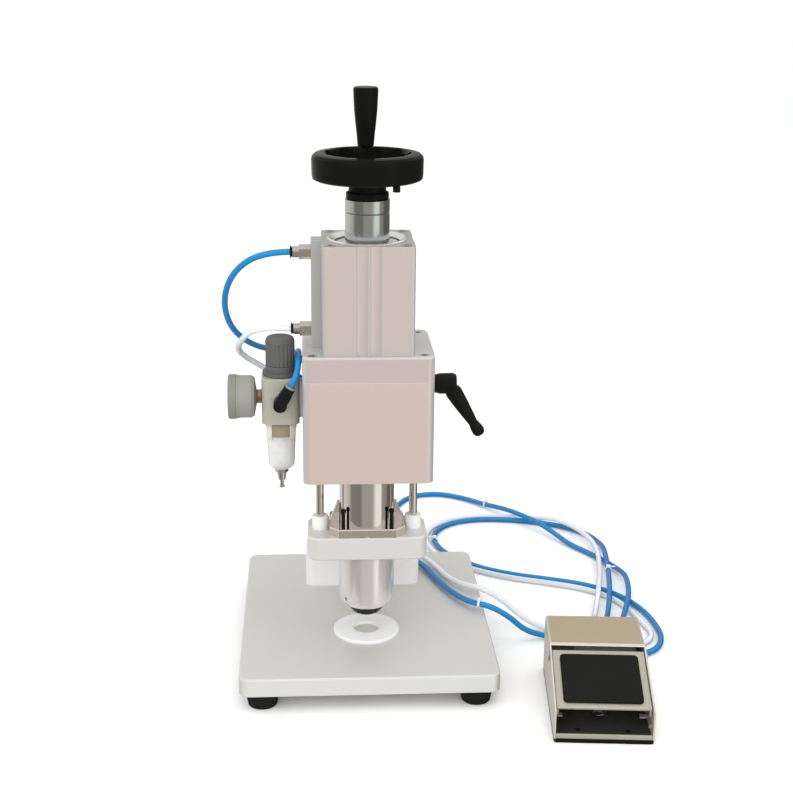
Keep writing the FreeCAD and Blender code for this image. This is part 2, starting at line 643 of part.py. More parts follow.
def make_cylinder():
    body = new_body(0, 0, cylinder_low)
    half = dim.cylinder_wide / 2
    pad(body, "XY_Plane", dim.cylinder_tall, rectangle(dim.cylinder_wide, dim.cylinder_wide))
    soften(body, "Fillet", is_vertical, dim.cylinder_corner)
    out = half + dim.groove_sink
    beside = (-dim.groove_spread, dim.groove_spread)
    grooves = [(x, y, dim.groove_radius) for x in beside for y in (-out, out)]
    grooves += [(out, y, dim.groove_radius) for y in beside]
    pocket(body, "XY_Plane", 0, spots=grooves, through=True, middle=True)
    bar = centred_block(
        -half - dim.port_proud / 2, 0, cylinder_low, dim.port_proud, dim.port_wide, dim.cylinder_tall)
    shell = fuse(body, bar)
    room = dim.cylinder_tall - dim.cylinder_floor
    bore = rod(dim.cylinder_bore, room, 0, 0, cylinder_low + dim.cylinder_floor)
    recess_deep = dim.cover_thick + dim.cover_sink
    recess = rod(dim.cover_radius, recess_deep, 0, 0, cylinder_top - recess_deep)
    passage = rod(dim.spindle_radius + dim.spindle_gap, dim.cylinder_floor, 0, 0, cylinder_low)
    ports = []
    for up in (dim.port_low, dim.port_high):
        outer = -half - dim.port_proud
        ports.append(rod(dim.port_radius, 8, outer, 0, cylinder_low + up, along_x))
        reach = half + dim.port_proud - dim.cylinder_bore + 1
        ports.append(rod(2.2, reach, outer, 0, cylinder_low + up, along_x))
    spots = cylinder_screw_spots()
    holes = [rod(dim.cap_screw_shank, dim.cylinder_tall, x, y, cylinder_low) for x, y in spots]
    sinks = [rod(dim.cap_screw + 0.3, 4, x, y, cylinder_top - 4) for x, y in spots]
    node("cylinder_body", cut(shell, bore, recess, passage, *ports, *holes, *sinks))
    long = dim.cylinder_tall - 4 + dim.cap_screw_bite
    screws = [
        socket_screw(dim.cap_screw, dim.cap_screw_shank, long, x, y, cylinder_top - 4) for x, y in spots]
    node("cylinder_screws", group(*screws))
    rim = dim.cover_radius - 0.1
    cover = turned(
        [(dim.spindle_radius + dim.spindle_gap, 0), (rim, 0), (rim, dim.cover_thick),
         (rim - 3, dim.cover_thick), (rim - 4, dim.cover_thick - 1),
         (dim.stop_radius + 3, dim.cover_thick - 1), (dim.stop_radius + 2, dim.cover_thick),
         (dim.spindle_radius + dim.spindle_gap, dim.cover_thick)],
        0, 0, cylinder_top - recess_deep)
    node("cylinder_cover", cover)
    skirt = dim.cylinder_bore - dim.piston_gap
    piston = turned(
        [(dim.spindle_radius, 0), (skirt - 1, 0), (skirt, 1), (skirt, 5), (skirt - 2, 5), (skirt - 2, 8),
         (skirt, 8), (skirt, dim.piston_thick - 1), (skirt - 1, dim.piston_thick),
         (dim.spindle_radius, dim.piston_thick)],
        0, 0, cylinder_low + dim.cylinder_floor + 8)
    node("piston", piston)
    roof = plate_top + dim.tube_tall - dim.tube_top_thick
    spindle_long = dim.spindle_top - roof
    spindle = turned(
        [(0, 0), (dim.spindle_radius, 0), (dim.spindle_radius, spindle_long - 1.5),
         (dim.spindle_radius - 1.5, spindle_long), (0, spindle_long)], 0, 0, roof)
    node("spindle", spindle)


def make_wheel():
    """Stop sleeve on the spindle's thread, the handwheel on it and the turning grip on the wheel."""
    low = cylinder_top - dim.cover_sink + 0.3
    top = dim.stop_low + dim.stop_high
    hole = dim.spindle_radius + dim.spindle_gap
    radius = dim.stop_radius
    sleeve = turned(
        [(hole, 0), (radius - 1, 0), (radius, 1), (radius, dim.stop_low - 0.8),
         (radius - dim.stop_groove, dim.stop_low), (radius, dim.stop_low + 0.8), (radius, top), (hole, top)],
        0, 0, low)
    node("stop_sleeve", sleeve)
    hub = low + top
    rim_low = dim.wheel_hub_tall
    rim_top = rim_low + dim.wheel_rim_tall
    web_low, web_top = rim_low + 4, rim_low + 4 + dim.wheel_web
    inner = dim.wheel_radius - dim.wheel_rim_wide
    outer = dim.wheel_radius
    blind = dim.spindle_top + 1 - hub
    wheel = turned(
        [(0, blind), (hole, blind), (hole, 0), (dim.wheel_hub - 0.5, 0), (dim.wheel_hub + 0.5, 1),
         (dim.wheel_hub + 0.5, 6), (dim.wheel_hub - 2, 7.5), (dim.wheel_hub - 2, web_low - 4),
         (dim.wheel_hub + 3, web_low), (inner, web_low - 1),
         (inner + 4, rim_low), (outer - 4, rim_low), (outer - 1, rim_low + 1.5), (outer - 0.3, rim_low + 5),
         (outer, rim_top - 6), (outer - 0.6, rim_top - 3), (outer - 3, rim_top - 0.8), (outer - 7, rim_top),
         (inner + 3, rim_top), (inner, rim_top - 3), (inner, web_top), (dim.wheel_hub - 2, web_top),
         (dim.wheel_hub - 4, web_top + 4), (0, web_top + 4)],
        0, 0, hub)
    spot = (dim.wheel_scallop_at, 0, dim.wheel_scallop)
    finger = pocket(wheel, "XY_Plane", 0, spots=[spot], through=True, middle=True)
    polar(wheel, finger, 9)
    pin = rod(dim.grip_pin, dim.grip_tall + 4, 0, dim.grip_at, hub + rim_top - 8)
    lug_at = dim.wheel_radius * 0.83
    lug = rod(dim.wheel_lug, 9, lug_at * 0.58, -lug_at * 0.81, hub + rim_low - 6)
    node("handwheel", fuse(wheel, pin, lug))
    room = dim.grip_pin + dim.grip_gap
    low_radius, high_radius = dim.grip_low, dim.grip_high
    grip = turned(
        [(room, 0), (low_radius - 0.6, 0), (low_radius, 0.6), (low_radius + 0.8, 10),
         (low_radius + 2.1, dim.grip_tall - 33), (high_radius - 0.9, dim.grip_tall - 22),
         (high_radius - 0.3, dim.grip_tall - 10), (high_radius, dim.grip_tall - 3),
         (high_radius - 0.4, dim.grip_tall - 1), (high_radius - 1.6, dim.grip_tall), (0, dim.grip_tall),
         (0, dim.grip_tall - 3), (room, dim.grip_tall - 3)],
        0, dim.grip_at, hub + rim_top + 0.3)
    node("spinner_grip", grip)


def fitting(x, y, z, turn):
    """A straight push-in fitting: hexagon and release collar on one axis."""
    hexa = hexagon(dim.fit_hex, dim.fit_hex_long)
    collar = rod(dim.fit_collar, dim.fit_collar_long, 0, 0, dim.fit_hex_long)
    thread = rod(dim.port_radius - 0.1, 6, 0, 0, -6)
    return place(fuse(hexa, collar, thread), x, y, z, turn)


def make_fittings():
    outer = -dim.cylinder_wide / 2 - dim.port_proud
    pair = [fitting(outer, 0, cylinder_low + up, along_minus_x) for up in (dim.port_low, dim.port_high)]
    node("cylinder_fittings", group(*pair))


def make_regulator():
    side = -dim.reg_side
    top = dim.reg_low + dim.reg_tall
    port_up = dim.reg_port_up
    core = rounded_plate(
        dim.reg_wide, dim.reg_deep, dim.reg_tall, dim.reg_corner, 1, side, 0, dim.reg_low)
    long = dim.reg_deep + 2 * dim.reg_boss_out
    boss = rod(dim.reg_boss, long, side, -long / 2, dim.reg_low + port_up, along_y)
    holes = [
        rod(dim.reg_port, dim.reg_port_deep, side, y, dim.reg_low + port_up, along_y)
        for y in (-long / 2, long / 2 - dim.reg_port_deep)]
    chamber = rod(dim.bowl_radius - 3, 8, side, 0, dim.reg_low)
    gauge_port = rod(3.1, 9, side - dim.reg_wide / 2, 0, dim.reg_low + dim.gauge_up, along_x)
    screw_room = rod(dim.screw_reg_radius + 0.3, 12, side, 0, top - 12)
    node("regulator_body", cut(fuse(core, boss), *holes, chamber, gauge_port, screw_room))
    arm_wide = dim.reg_side - dim.reg_wide / 2 - dim.head_wide / 2
    arm = block(-dim.head_wide / 2 - arm_wide, -8, dim.reg_low + 4, arm_wide, 16, dim.reg_tall - 10)
    node("regulator_mount", arm)
    hole = dim.screw_reg_radius + 0.3
    step, rise = dim.ring_low_tall, dim.ring_low_tall + dim.ring_top_tall
    ring = turned(
        [(hole, 0), (dim.ring_low_radius - 0.8, 0), (dim.ring_low_radius, 0.8), (dim.ring_low_radius, step),
         (dim.ring_top_radius, step), (dim.ring_top_radius, rise), (hole, rise)], side, 0, top)
    node("regulator_bonnet", ring)
    screw_long = dim.knob_reg_tall
    screw = turned(
        [(0, 0), (dim.screw_reg_radius, 0), (dim.screw_reg_radius, screw_long - 1),
         (dim.screw_reg_radius - 1, screw_long), (0, screw_long)], side, 0, top - 4)
    node("regulator_screw", screw)
    make_knob(side, top + rise + dim.knob_reg_gap)
    bowl_high, bowl_thin = dim.bowl_radius, dim.bowl_low_radius
    wall = dim.bowl_wall
    bowl = turned(
        [(2.2, 0), (bowl_thin - 3, 0), (bowl_thin, 3), (bowl_high - 0.6, dim.bowl_tall - 8),
         (bowl_high, dim.bowl_tall - 8), (bowl_high, dim.bowl_tall), (bowl_high - wall - 0.5, dim.bowl_tall),
         (bowl_high - wall - 1, dim.bowl_tall - 8), (bowl_thin - wall, 4), (bowl_thin - 4, wall),
         (2.2, wall)], side, 0, dim.reg_low - dim.bowl_tall)
    node("regulator_bowl", bowl)
    element = turned(
        [(0, 0), (6, 0), (7.5, 2), (7.5, 24), (9, 24), (9, 26), (3, 26), (3, 33), (0, 33)],
        side, 0, dim.reg_low - 25)
    node("filter_element", element)
    bowl_low = dim.reg_low - dim.bowl_tall
    seat = fuse(
        hexagon(dim.drain_radius, 5, side, 0, bowl_low - 5),
        cone(3.4, 4.8, dim.drain_tall - 5, side, 0, bowl_low - dim.drain_tall),
        rod(2.2, wall + 3, side, 0, bowl_low))
    bore = rod(dim.drain_pin + 0.1, dim.drain_tall + 6, side, 0, bowl_low - dim.drain_tall)
    node("drain_seat", cut(seat, bore))
    pin_low = bowl_low - dim.drain_tall - dim.drain_pin_tall
    drain = turned(
        [(0, 0), (2.6, 0), (2.6, 1.5), (dim.drain_pin, 2), (dim.drain_pin, dim.drain_pin_tall + 9),
         (0, dim.drain_pin_tall + 9)], side, 0, pin_low)
    node("drain_pin", drain)
    make_gauge(side - dim.reg_wide / 2, dim.reg_low + dim.gauge_up)
    make_elbow(side, -long / 2, dim.reg_low + port_up)


def make_knob(x, z):
    """Ribbed cap knob, hollow over the adjusting screw."""
    radius, tall = dim.knob_reg_radius, dim.knob_reg_tall
    hole = dim.screw_reg_radius + 0.15
    knob = turned(
        [(dim.ring_top_radius - 2.5, 0), (radius, 0), (radius, tall - 4), (radius - 1.2, tall - 1),
         (radius - 3, tall), (0, tall), (0, tall - 3), (hole, tall - 3), (hole, tall - 14),
         (dim.ring_top_radius - 2.5, tall - 14)], x, 0, z)
    rib = pocket(knob, "XY_Plane", tall - 5, spots=[(radius + 0.7, 0, dim.knob_rib)], back=True)
    polar(knob, rib, 20)
    node("regulator_knob", knob)


def make_gauge(x, z):
    """Round pressure gauge that looks to the left, on a stem in the regulator's side port."""
    radius, deep, wall = dim.gauge_radius, dim.gauge_deep, dim.gauge_wall
    stem = dim.gauge_stem
    case = turned(
        [(0, -8), (3, -8), (3, 0), (5, 0), (4.2, stem - 1.5), (7, stem), (radius - 2.5, stem + 2),
         (radius - 0.5, stem + 5), (radius - 0.5, deep + stem - 7), (radius, deep + stem - 6.5),
         (radius, deep + stem - 0.8), (radius - 0.8, deep + stem), (radius - wall - 0.8, deep + stem),
         (radius - wall - 0.8, deep + stem - 6), (0, deep + stem - 6)],
        x, 0, z, along_minus_x)
    node("gauge_case", case)
    lens = turned(
        [(0, 0), (radius - wall - 0.8, 0), (radius - wall - 0.8, 1.4), (0, 1.4)],
        x - deep - stem + 2.4, 0, z, along_minus_x)
    node("gauge_lens", lens)
    turn = along_minus_x
    boss = turned([(0, 0.2), (2.2, 0.2), (2.2, 1.6), (0, 1.6)], 0, 0, 0)
    pointer = block(-0.7, -3.5, 0.7, 1.4, 15, 0.6)
    needle = place(fuse(boss, pointer), x - deep - stem + 6, 0, z, turn)
    node("gauge_needle", needle)


def make_elbow(x, y, z):
    """Black push-in elbow in the regulator's front port, leaning to the right."""
    leg = rod(6.4, 14, 0, 0, 0, along_minus_y)
    thread = rod(dim.reg_port - 0.1, 8, 0, 8, 0, along_minus_y)
    lean = FreeCAD.Rotation(FreeCAD.Vector(0, 1, 0), elbow_lean)
    riser = place(rod(6, elbow_rise), 0, -8, 0, lean)
    neck = rod(dim.fit_collar, 6, elbow_rise * math.sin(math.radians(elbow_lean)), -8,
               elbow_rise * math.cos(math.radians(elbow_lean)), lean)
    node("outlet_elbow", place(fuse(leg, thread, riser, neck, refine=False), x, y, z))


elbow_lean, elbow_rise = 30, 12

# The foot pedal's own frame: X across, Y back from its front edge, Z up from the table
pedal_spot = FreeCAD.Placement(
    FreeCAD.Vector(dim.pedal_right.number, -dim.pedal_ahead.number, 0),
    FreeCAD.Rotation(FreeCAD.Vector(0, 0, 1), -5))


def on_pedal(thing):
    """Carry a piece that was built in the pedal's own frame to where the pedal stands."""
    carried = doc.addObject("Part::Compound", "Carried")
    carried.Links = [thing]
    carried.Placement = pedal_spot
    return carried


def pedal_slope():
    rise = dim.pedal_tall.number - dim.pedal_front_tall.number
    run = dim.pedal_long.number - dim.pedal_roof.number
    return math.degrees(math.atan2(rise, run))


def make_pedal_case():
    side = dim.pedal_wide / 2
    sheet_thick = dim.pedal_sheet
    base = new_body()
    pad(base, "XY_Plane", dim.pedal_mat, rectangle(dim.pedal_wide, dim.pedal_long, 0, dim.pedal_long / 2))
    soften(base, "Fillet", is_vertical, 3)
    lip = block(-side + 2, 0.5, dim.pedal_mat, dim.pedal_wide - 4, sheet_thick, 4)
    node("pedal_base", on_pedal(fuse(base, lip)))
    shell = new_body()
    nose, brow = dim.pedal_front_tall, dim.pedal_long - dim.pedal_roof
    tall = dim.pedal_tall
    pad(shell, "YZ_Plane", dim.pedal_wide, [
        (0, dim.pedal_mat), (dim.pedal_long, dim.pedal_mat), (dim.pedal_long, tall), (brow, tall),
        (brow - 2, tall - 1), (0, nose)], middle=True)
    pocket(shell, "YZ_Plane", dim.pedal_wide - 2 * sheet_thick, [
        (-2, dim.pedal_mat - 1), (dim.pedal_long - sheet_thick, dim.pedal_mat - 1),
        (dim.pedal_long - sheet_thick, tall - sheet_thick), (brow - 4, tall - sheet_thick),
        (brow - 4, tall + 5), (-2, tall + 5)], middle=True)
    soften(shell, "Fillet", is_roof_edge, 2)
    hinge_y = hinge_line()
    pin_hole = rod(dim.hinge_radius + 0.05, dim.pedal_wide + 2, -side - 1, hinge_y, dim.hinge_up, along_x)
    windows = [
        rod(8.5, 6, dim.valve_side + i * dim.pedal_port_step, dim.pedal_long - 4, port_height(), along_y)
        for i in (-1, 0, 1)]
    node("pedal_cover", on_pedal(cut(shell, pin_hole, *windows)))
    pin = fuse(
        rod(dim.hinge_radius, dim.pedal_wide + 1, -side - 0.5, hinge_y, dim.hinge_up, along_x),
        rod(dim.hinge_radius + 1.5, 1.5, -side - 1.7, hinge_y, dim.hinge_up, along_x),
        rod(dim.hinge_radius + 1.5, 1.5, side + 0.2, hinge_y, dim.hinge_up, along_x))
    node("pedal_hinge_pin", on_pedal(pin))


def is_roof_edge(edge):
    """The two long upper edges of the pedal's roof."""
    box = edge.BoundBox
    level = abs(box.ZMin - dim.pedal_tall.number) < 1e-6 and box.ZLength < 1e-6
    return level and box.XLength < 1e-6 and abs(abs(box.XMin) - dim.pedal_wide.number / 2) < 1e-6


def port_height():
    return dim.hinge_up - dim.spool_drop


def valve_front():
    return dim.pedal_long - dim.pedal_sheet - dim.valve_clear - dim.valve_deep


def hinge_line():
    return valve_front() - dim.hinge_ahead


def make_valve():
    """Five-port spool valve that stands on the pedal's base under the roof."""
    front = valve_front()
    back = front + dim.valve_deep
    left = dim.valve_side - dim.valve_wide / 2
    body = block(left, front, dim.pedal_mat, dim.valve_wide, dim.valve_deep, dim.valve_tall)
    bore = rod(dim.spool_radius + 0.05, dim.valve_deep - 6, 0, front, port_height(), along_y)
    across = [dim.valve_side + i * dim.pedal_port_step for i in (-1, 0, 1)]
    sockets = [rod(dim.port_radius, 6.2, x, back - 6.2, port_height(), along_y) for x in across]
    node("pedal_valve", on_pedal(cut(body, bore, *sockets)))
    trio = [fitting(x, back, port_height(), along_y) for x in across]
    node("pedal_fittings", on_pedal(group(*trio)))
    hinge_y = hinge_line()
    start = hinge_y + dim.treadle_thick / 2 + 0.3
    reach = front + dim.spool_bite - start
    spool = turned(
        [(0, 0), (dim.spool_tip, 0), (dim.spool_radius, 3), (dim.spool_radius, reach),
         (0, reach)], 0, start, port_height(), along_y)
    node("pedal_spool", on_pedal(spool))


def make_treadle():
    """Sloping treadle with turned-down sides, its arm to the spool, rubber pad and return spring."""
    thick, drop = dim.treadle_thick, dim.treadle_side
    half = dim.pedal_wide / 2 - dim.pedal_sheet - dim.pedal_gap
    slope = pedal_slope()
    tilt = FreeCAD.Rotation(FreeCAD.Vector(1, 0, 0), slope)
    hinge_y = hinge_line()
    behind = dim.treadle_behind
    body = new_body()
    pad(body, "XY_Plane", drop, rectangle(2 * half, dim.treadle_long, 0, behind - dim.treadle_long / 2))
    hollow = rectangle(2 * (half - thick), dim.treadle_long + 2, 0, behind - dim.treadle_long / 2)
    pocket(body, "XY_Plane", drop - thick, hollow, back=True)
    above = 6
    ears = [rod(5, thick, x, 0, 0, along_x) for x in (-half, half - thick)]
    holes = rod(dim.hinge_radius + 0.05, 2 * half + 2, -half - 1, 0, 0, along_x)
    tray = place(cut(fuse(place(body, 0, 0, above - drop), *ears), holes), 0, hinge_y, dim.hinge_up, tilt)
    reach = dim.arm_wide / 2
    arm = cut(
        fuse(rod(5.2, dim.arm_wide, -reach, hinge_y, dim.hinge_up, along_x),
             block(-reach, hinge_y - thick / 2, dim.hinge_up - dim.arm_drop,
                   dim.arm_wide, thick, dim.arm_drop)),
        rod(dim.hinge_radius + 0.05, dim.arm_wide + 2, -reach - 1, hinge_y, dim.hinge_up, along_x))
    node("treadle", on_pedal(fuse(tray, arm)))
    rubber = new_body(0, hinge_y, dim.hinge_up, tilt)
    pad(rubber, "XY_Plane", dim.pad_thick, rectangle(dim.pad_wide, dim.pad_long, 0, 0))
    soften(rubber, "Fillet", is_vertical, 4)
    soften(rubber, "Chamfer", is_level(dim.pad_thick), 1)
    shift = tilt.multVec(FreeCAD.Vector(0, -number_of(dim.pad_in), number_of(above)))
    place(rubber, 0, hinge_y + shift.y, dim.hinge_up + shift.z, tilt)
    node("treadle_pad", on_pedal(rubber))
    make_treadle_spring(hinge_y)


def make_treadle_spring(hinge_y):
    """Return spring between the pedal's base and the treadle, in plain rings."""
    out = 38
    slope = math.radians(pedal_slope())
    top = dim.hinge_up.number - out * math.sin(slope) + 4 * math.cos(slope) - 0.7
    low = dim.pedal_mat.number + dim.spring_wire.number
    turns = 6
    rise = (top - dim.spring_wire.number - low - 0.8) / turns
    helix = Part.makeHelix(rise, rise * turns, dim.spring_radius.number)
    ring = Part.Circle(
        FreeCAD.Vector(dim.spring_radius.number, 0, 0), FreeCAD.Vector(0, 1, 0), dim.spring_wire.number)
    coil = Part.Wire(helix.Edges).makePipeShell([Part.Wire([ring.toShape()])], True, True)
    spring = doc.addObject("Part::Feature", "Spring")
    spring.Shape = coil
    place(spring, 0, hinge_y.number - out, low)
    node("treadle_spring", on_pedal(spring))


# Hoses: straight runs joined by tangent arcs. Each route is chosen by hand, from the fitting to the pedal.
hose_routes = {
    "hose_top": (
        [(-70, 0, 424), (-98, 0, 424), (-126, 12, 404), (-138, 34, 372), (-134, 54, 340),
         (-119, 74, 318), (-99, 95, 304), (-81, 120, 297), (-68, 150, 284), (-53, 182, 255),
         (-29, 201, 223), (-7, 210, 186), (5, 212, 150)],
        [(8, 212, 112), (11, 214, 72), (18, 225, 34), (28, 249, 10), (36, 283, 3.3), (42, 328, 3.3),
         (48, 378, 3.3), (56, 424, 3.3), (78, 456, 3.3), (112, 463, 3.3), (144, 446, 3.3),
         (171, 417, 4.4), (186, 396, 8.5), (202, 371, 12), (226, 338, 11.8), (243, 311, 8),
         (257, 286, 3.5), (275, 260, 3.3), (291, 233, 3.3), (301, 206, 5), (304, 176, 10.5),
         (301, 146, 11.5), (295, 116, 11.5), (286, 87, 11), (277, 60, 12), (268, 35, 19),
         (258.5, 12, 27.5), (254.48, -4.2, 30), (253.21, -18.74, 30)]),
    "hose_bottom": (
        [(-70, 0, 350), (-91, 0, 350), (-110, 9, 344), (-122, 28, 330), (-126, 50, 316),
         (-118, 76, 300), (-101, 103, 282), (-86, 131, 264), (-73, 160, 244), (-51, 186, 222),
         (-25, 199, 194), (1, 195, 168), (19, 190, 143)],
        [(26, 188, 112), (30, 189, 82), (44, 187, 55), (66, 176, 41), (82, 150, 38.5), (92, 118, 38.5),
         (108, 92, 40), (128, 80, 40.5), (149, 76, 29), (168, 72, 11.5), (187, 61, 4), (208, 46, 3.3),
         (229, 30, 3.3), (255.4, 10.4, 3.3), (278.1, 9.6, 3.3), (297.1, 22, 3.3), (305.6, 43, 3.3),
         (299, 72, 3.3), (293, 102, 3.3), (279, 133, 3.3), (252, 157, 3.3), (214, 173.5, 3.3),
         (172, 189, 3.3),
         (131, 215, 3.3), (99, 249, 3.3), (84, 290, 3.3), (87, 332, 3.3), (112, 367, 3.3),
         (152, 380, 3.3), (190, 378, 3.3), (222, 370, 4), (246, 354, 10), (262, 334, 11.3),
         (275, 309, 11.3), (284, 279, 11), (285, 247, 11.3), (281, 215, 11.3), (276, 184, 11.3),
         (269, 152, 11.3), (262, 122, 10), (254, 92, 7), (246, 64, 9), (236, 36, 17), (224, 14, 27),
         (218.61, -1.07, 30), (217.34, -15.61, 30)]),
    "hose_supply": (
        [(-74, -31, 299.6), (-69.2, -31, 307.9), (-66.3, -27.1, 316.2), (-65.5, -19.1, 323.3),
         (-65.5, -5.6, 326.4), (-65.6, 14, 324.5), (-67.5, 40, 315), (-70, 74, 300), (-71, 102, 284),
         (-71, 132, 268), (-62, 160, 251),
         (-42, 178, 234), (-18, 186, 211), (4, 186, 182), (14, 184, 150)],
        [(16, 182, 116), (18, 180, 84), (30, 179, 56), (52, 172, 41), (70, 148, 38.5), (80, 112, 38.5),
         (95, 74, 38.5), (111, 46, 40.5), (130, 36, 41), (150, 33, 30), (168, 36, 12), (187, 40, 4),
         (208, 33, 3.3), (232, 16, 3.3), (256, -4, 3.3), (282, -8, 3.3), (304, 6, 3.3), (314, 34, 3.3),
         (313, 68, 3.3), (306, 104, 3.3), (287, 140, 3.3), (257, 167, 3.3), (218, 183, 3.3),
         (176, 198, 3.3), (138, 221, 3.3), (108, 253, 4.4), (94, 290, 4.4), (96, 328, 3.3),
         (118, 358, 3.3), (152, 370, 3.3), (190, 368, 3.3), (228, 358, 3.3), (262, 341, 3.3),
         (286, 316, 3.3), (295, 284, 5), (294, 250, 11), (290, 214, 11.3), (285, 178, 11.3),
         (279, 142, 11.3), (272, 108, 11), (264, 76, 10), (256, 48, 15), (246, 30, 22), (239, 14, 28),
         (236.55, -2.64, 30), (235.28, -17.18, 30)]),
}


def hose_path(points):
    """Edges of a route, its tightest arc radius and its length."""
    spots = [FreeCAD.Vector(*point) for point in points]
    edges, radii = [], []
    start = spots[0]
    for before, here, after in zip(spots, spots[1:], spots[2:]):
        back, ahead = (before - here), (after - here)
        short = min(back.Length, ahead.Length)
        back.normalize()
        ahead.normalize()
        turn = math.pi - back.getAngle(ahead)
        reach = 0.45 * short
        enter, leave = here + back * reach, here + ahead * reach
        radius = reach / math.tan(turn / 2)
        to_centre = (back + ahead).normalize()
        middle = here + to_centre * (radius / math.cos(turn / 2) - radius)
        edges.append(Part.LineSegment(start, enter).toShape())
        edges.append(Part.Arc(enter, middle, leave).toShape())
        radii.append(radius)
        start = leave
    edges.append(Part.LineSegment(start, spots[-1]).toShape())
    return edges, min(radii), sum(edge.Length for edge in edges)


def make_hose(name, points):
    edges, tightest, long = hose_path(points)
    path = Part.Wire(edges)
    radius = dim.hose_radius.number
    direction = FreeCAD.Vector(*points[1]) - FreeCAD.Vector(*points[0])
    ring = Part.Circle(FreeCAD.Vector(*points[0]), direction, radius)
    tube = path.makePipeShell([Part.Wire([ring.toShape()])], True, False)
    hose = doc.addObject("Part::Feature", "Hose")
    hose.Shape = tube
    node(name, hose)
    share = tube.Volume / (math.pi * radius * radius * long)
    print(f"{name}: length {long:.0f} mm, tightest arc {tightest:.1f} mm, volume share {share:.4f}")


def make_hoses():
    for name, (upper, lower) in hose_routes.items():
        joint = [(a + b) / 2 for a, b in zip(upper[-1], lower[0])]
        make_hose(name + "_upper", upper + [tuple(joint)])
        make_hose(name + "_lower", [tuple(joint)] + lower)


make_base()
make_feet()
make_seat()
make_post()
make_head()
make_clamp()
make_lever()
make_ram()
make_crimp_head()
make_cylinder()
make_fittings()
make_wheel()
make_regulator()
make_pedal_case()
make_valve()
make_treadle()
make_hoses()
doc.recompute()

# Every object is sound before anything is written
for thing in doc.Objects:
    if "Invalid" in thing.State or "Error" in thing.State:
        raise RuntimeError(f"{thing.Label} failed: {thing.State}")
for thing in nodes:
    if thing.Shape.isNull() or not thing.Shape.isValid():
        raise RuntimeError(f"{thing.Label} has no sound shape")
os.makedirs("parts", exist_ok=True)
for thing in nodes:
    thing.Shape.exportStep(os.path.join("parts", thing.Label + ".step"))
print(len(nodes), "nodes written")
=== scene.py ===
import bpy
import bmesh
import math
from mathutils import Matrix, Quaternion, Vector


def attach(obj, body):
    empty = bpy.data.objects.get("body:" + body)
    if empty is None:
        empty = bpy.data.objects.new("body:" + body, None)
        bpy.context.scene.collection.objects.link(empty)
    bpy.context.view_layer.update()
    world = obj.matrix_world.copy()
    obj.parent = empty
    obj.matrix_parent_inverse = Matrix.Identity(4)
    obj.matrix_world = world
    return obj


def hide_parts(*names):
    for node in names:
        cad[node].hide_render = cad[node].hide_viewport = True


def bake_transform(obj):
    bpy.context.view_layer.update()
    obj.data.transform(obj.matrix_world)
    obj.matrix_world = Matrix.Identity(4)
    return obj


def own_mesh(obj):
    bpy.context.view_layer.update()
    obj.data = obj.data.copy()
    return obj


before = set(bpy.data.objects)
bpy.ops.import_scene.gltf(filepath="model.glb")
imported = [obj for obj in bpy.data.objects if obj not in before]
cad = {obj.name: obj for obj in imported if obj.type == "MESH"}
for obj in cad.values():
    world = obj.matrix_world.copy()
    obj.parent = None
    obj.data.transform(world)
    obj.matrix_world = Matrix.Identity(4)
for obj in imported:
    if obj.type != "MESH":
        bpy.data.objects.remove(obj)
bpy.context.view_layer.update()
scene = bpy.context.scene
print("stage: frame loaded,", len(cad), "nodes")


# Camera: the photographer's place and view, solved from the edges of the base plate and the head
cameraSizes = {
    "spot": (-0.05422, -1.35597, 0.70056),
    "yaw": 0.06103202, "pitch": 0.2992743, "roll": 0.008615665,
    "focal": 1469.659, "picture": 793.0, "sensor": 36.0,
}


def makeCamera():
    sizes = cameraSizes
    yaw, pitch, roll = sizes["yaw"], sizes["pitch"], sizes["roll"]
    ahead = Vector((math.sin(yaw) * math.cos(pitch), math.cos(yaw) * math.cos(pitch), -math.sin(pitch)))
    right = ahead.cross(Vector((0, 0, 1))).normalized()
    up = right.cross(ahead)
    tiltedRight = math.cos(roll) * right + math.sin(roll) * up
    tiltedUp = -math.sin(roll) * right + math.cos(roll) * up
    data = bpy.data.cameras.new("camera")
    data.sensor_width = sizes["sensor"]
    data.lens = sizes["focal"] / sizes["picture"] * sizes["sensor"]
    data.clip_start, data.clip_end = 0.05, 30
    data.dof.use_dof = False
    camera = bpy.data.objects.new("camera", data)
    turn = Matrix((tiltedRight, tiltedUp, -ahead)).transposed().to_4x4()
    camera.matrix_world = Matrix.Translation(sizes["spot"]) @ turn
    scene.collection.objects.link(camera)
    scene.camera = camera


makeCamera()
print("stage: camera placed")


# Node groups and materials
# Makes nodes in a tree: kind, then socket values by name or number, links given as sockets
def nodeMaker(tree):
    def make(kind, values=None, **settings):
        node = tree.nodes.new(kind)
        for key, value in settings.items():
            setattr(node, key, value)
        for key, value in (values or {}).items():
            socket = node.inputs[key]
            if isinstance(value, bpy.types.NodeSocket):
                tree.links.new(value, socket)
            else:
                socket.default_value = value
        return node
    return make


def newGroup(name, inputs, outputs):
    group = bpy.data.node_groups.new(name, "ShaderNodeTree")
    for title, kind, value in inputs:
        socket = group.interface.new_socket(name=title, in_out="INPUT", socket_type="NodeSocket" + kind)
        if value is not None:
            socket.default_value = value
    for title, kind in outputs:
        group.interface.new_socket(name=title, in_out="OUTPUT", socket_type="NodeSocket" + kind)
    start = group.nodes.new("NodeGroupInput")
    end = group.nodes.new("NodeGroupOutput")
    return group, start.outputs, end.inputs, nodeMaker(group)


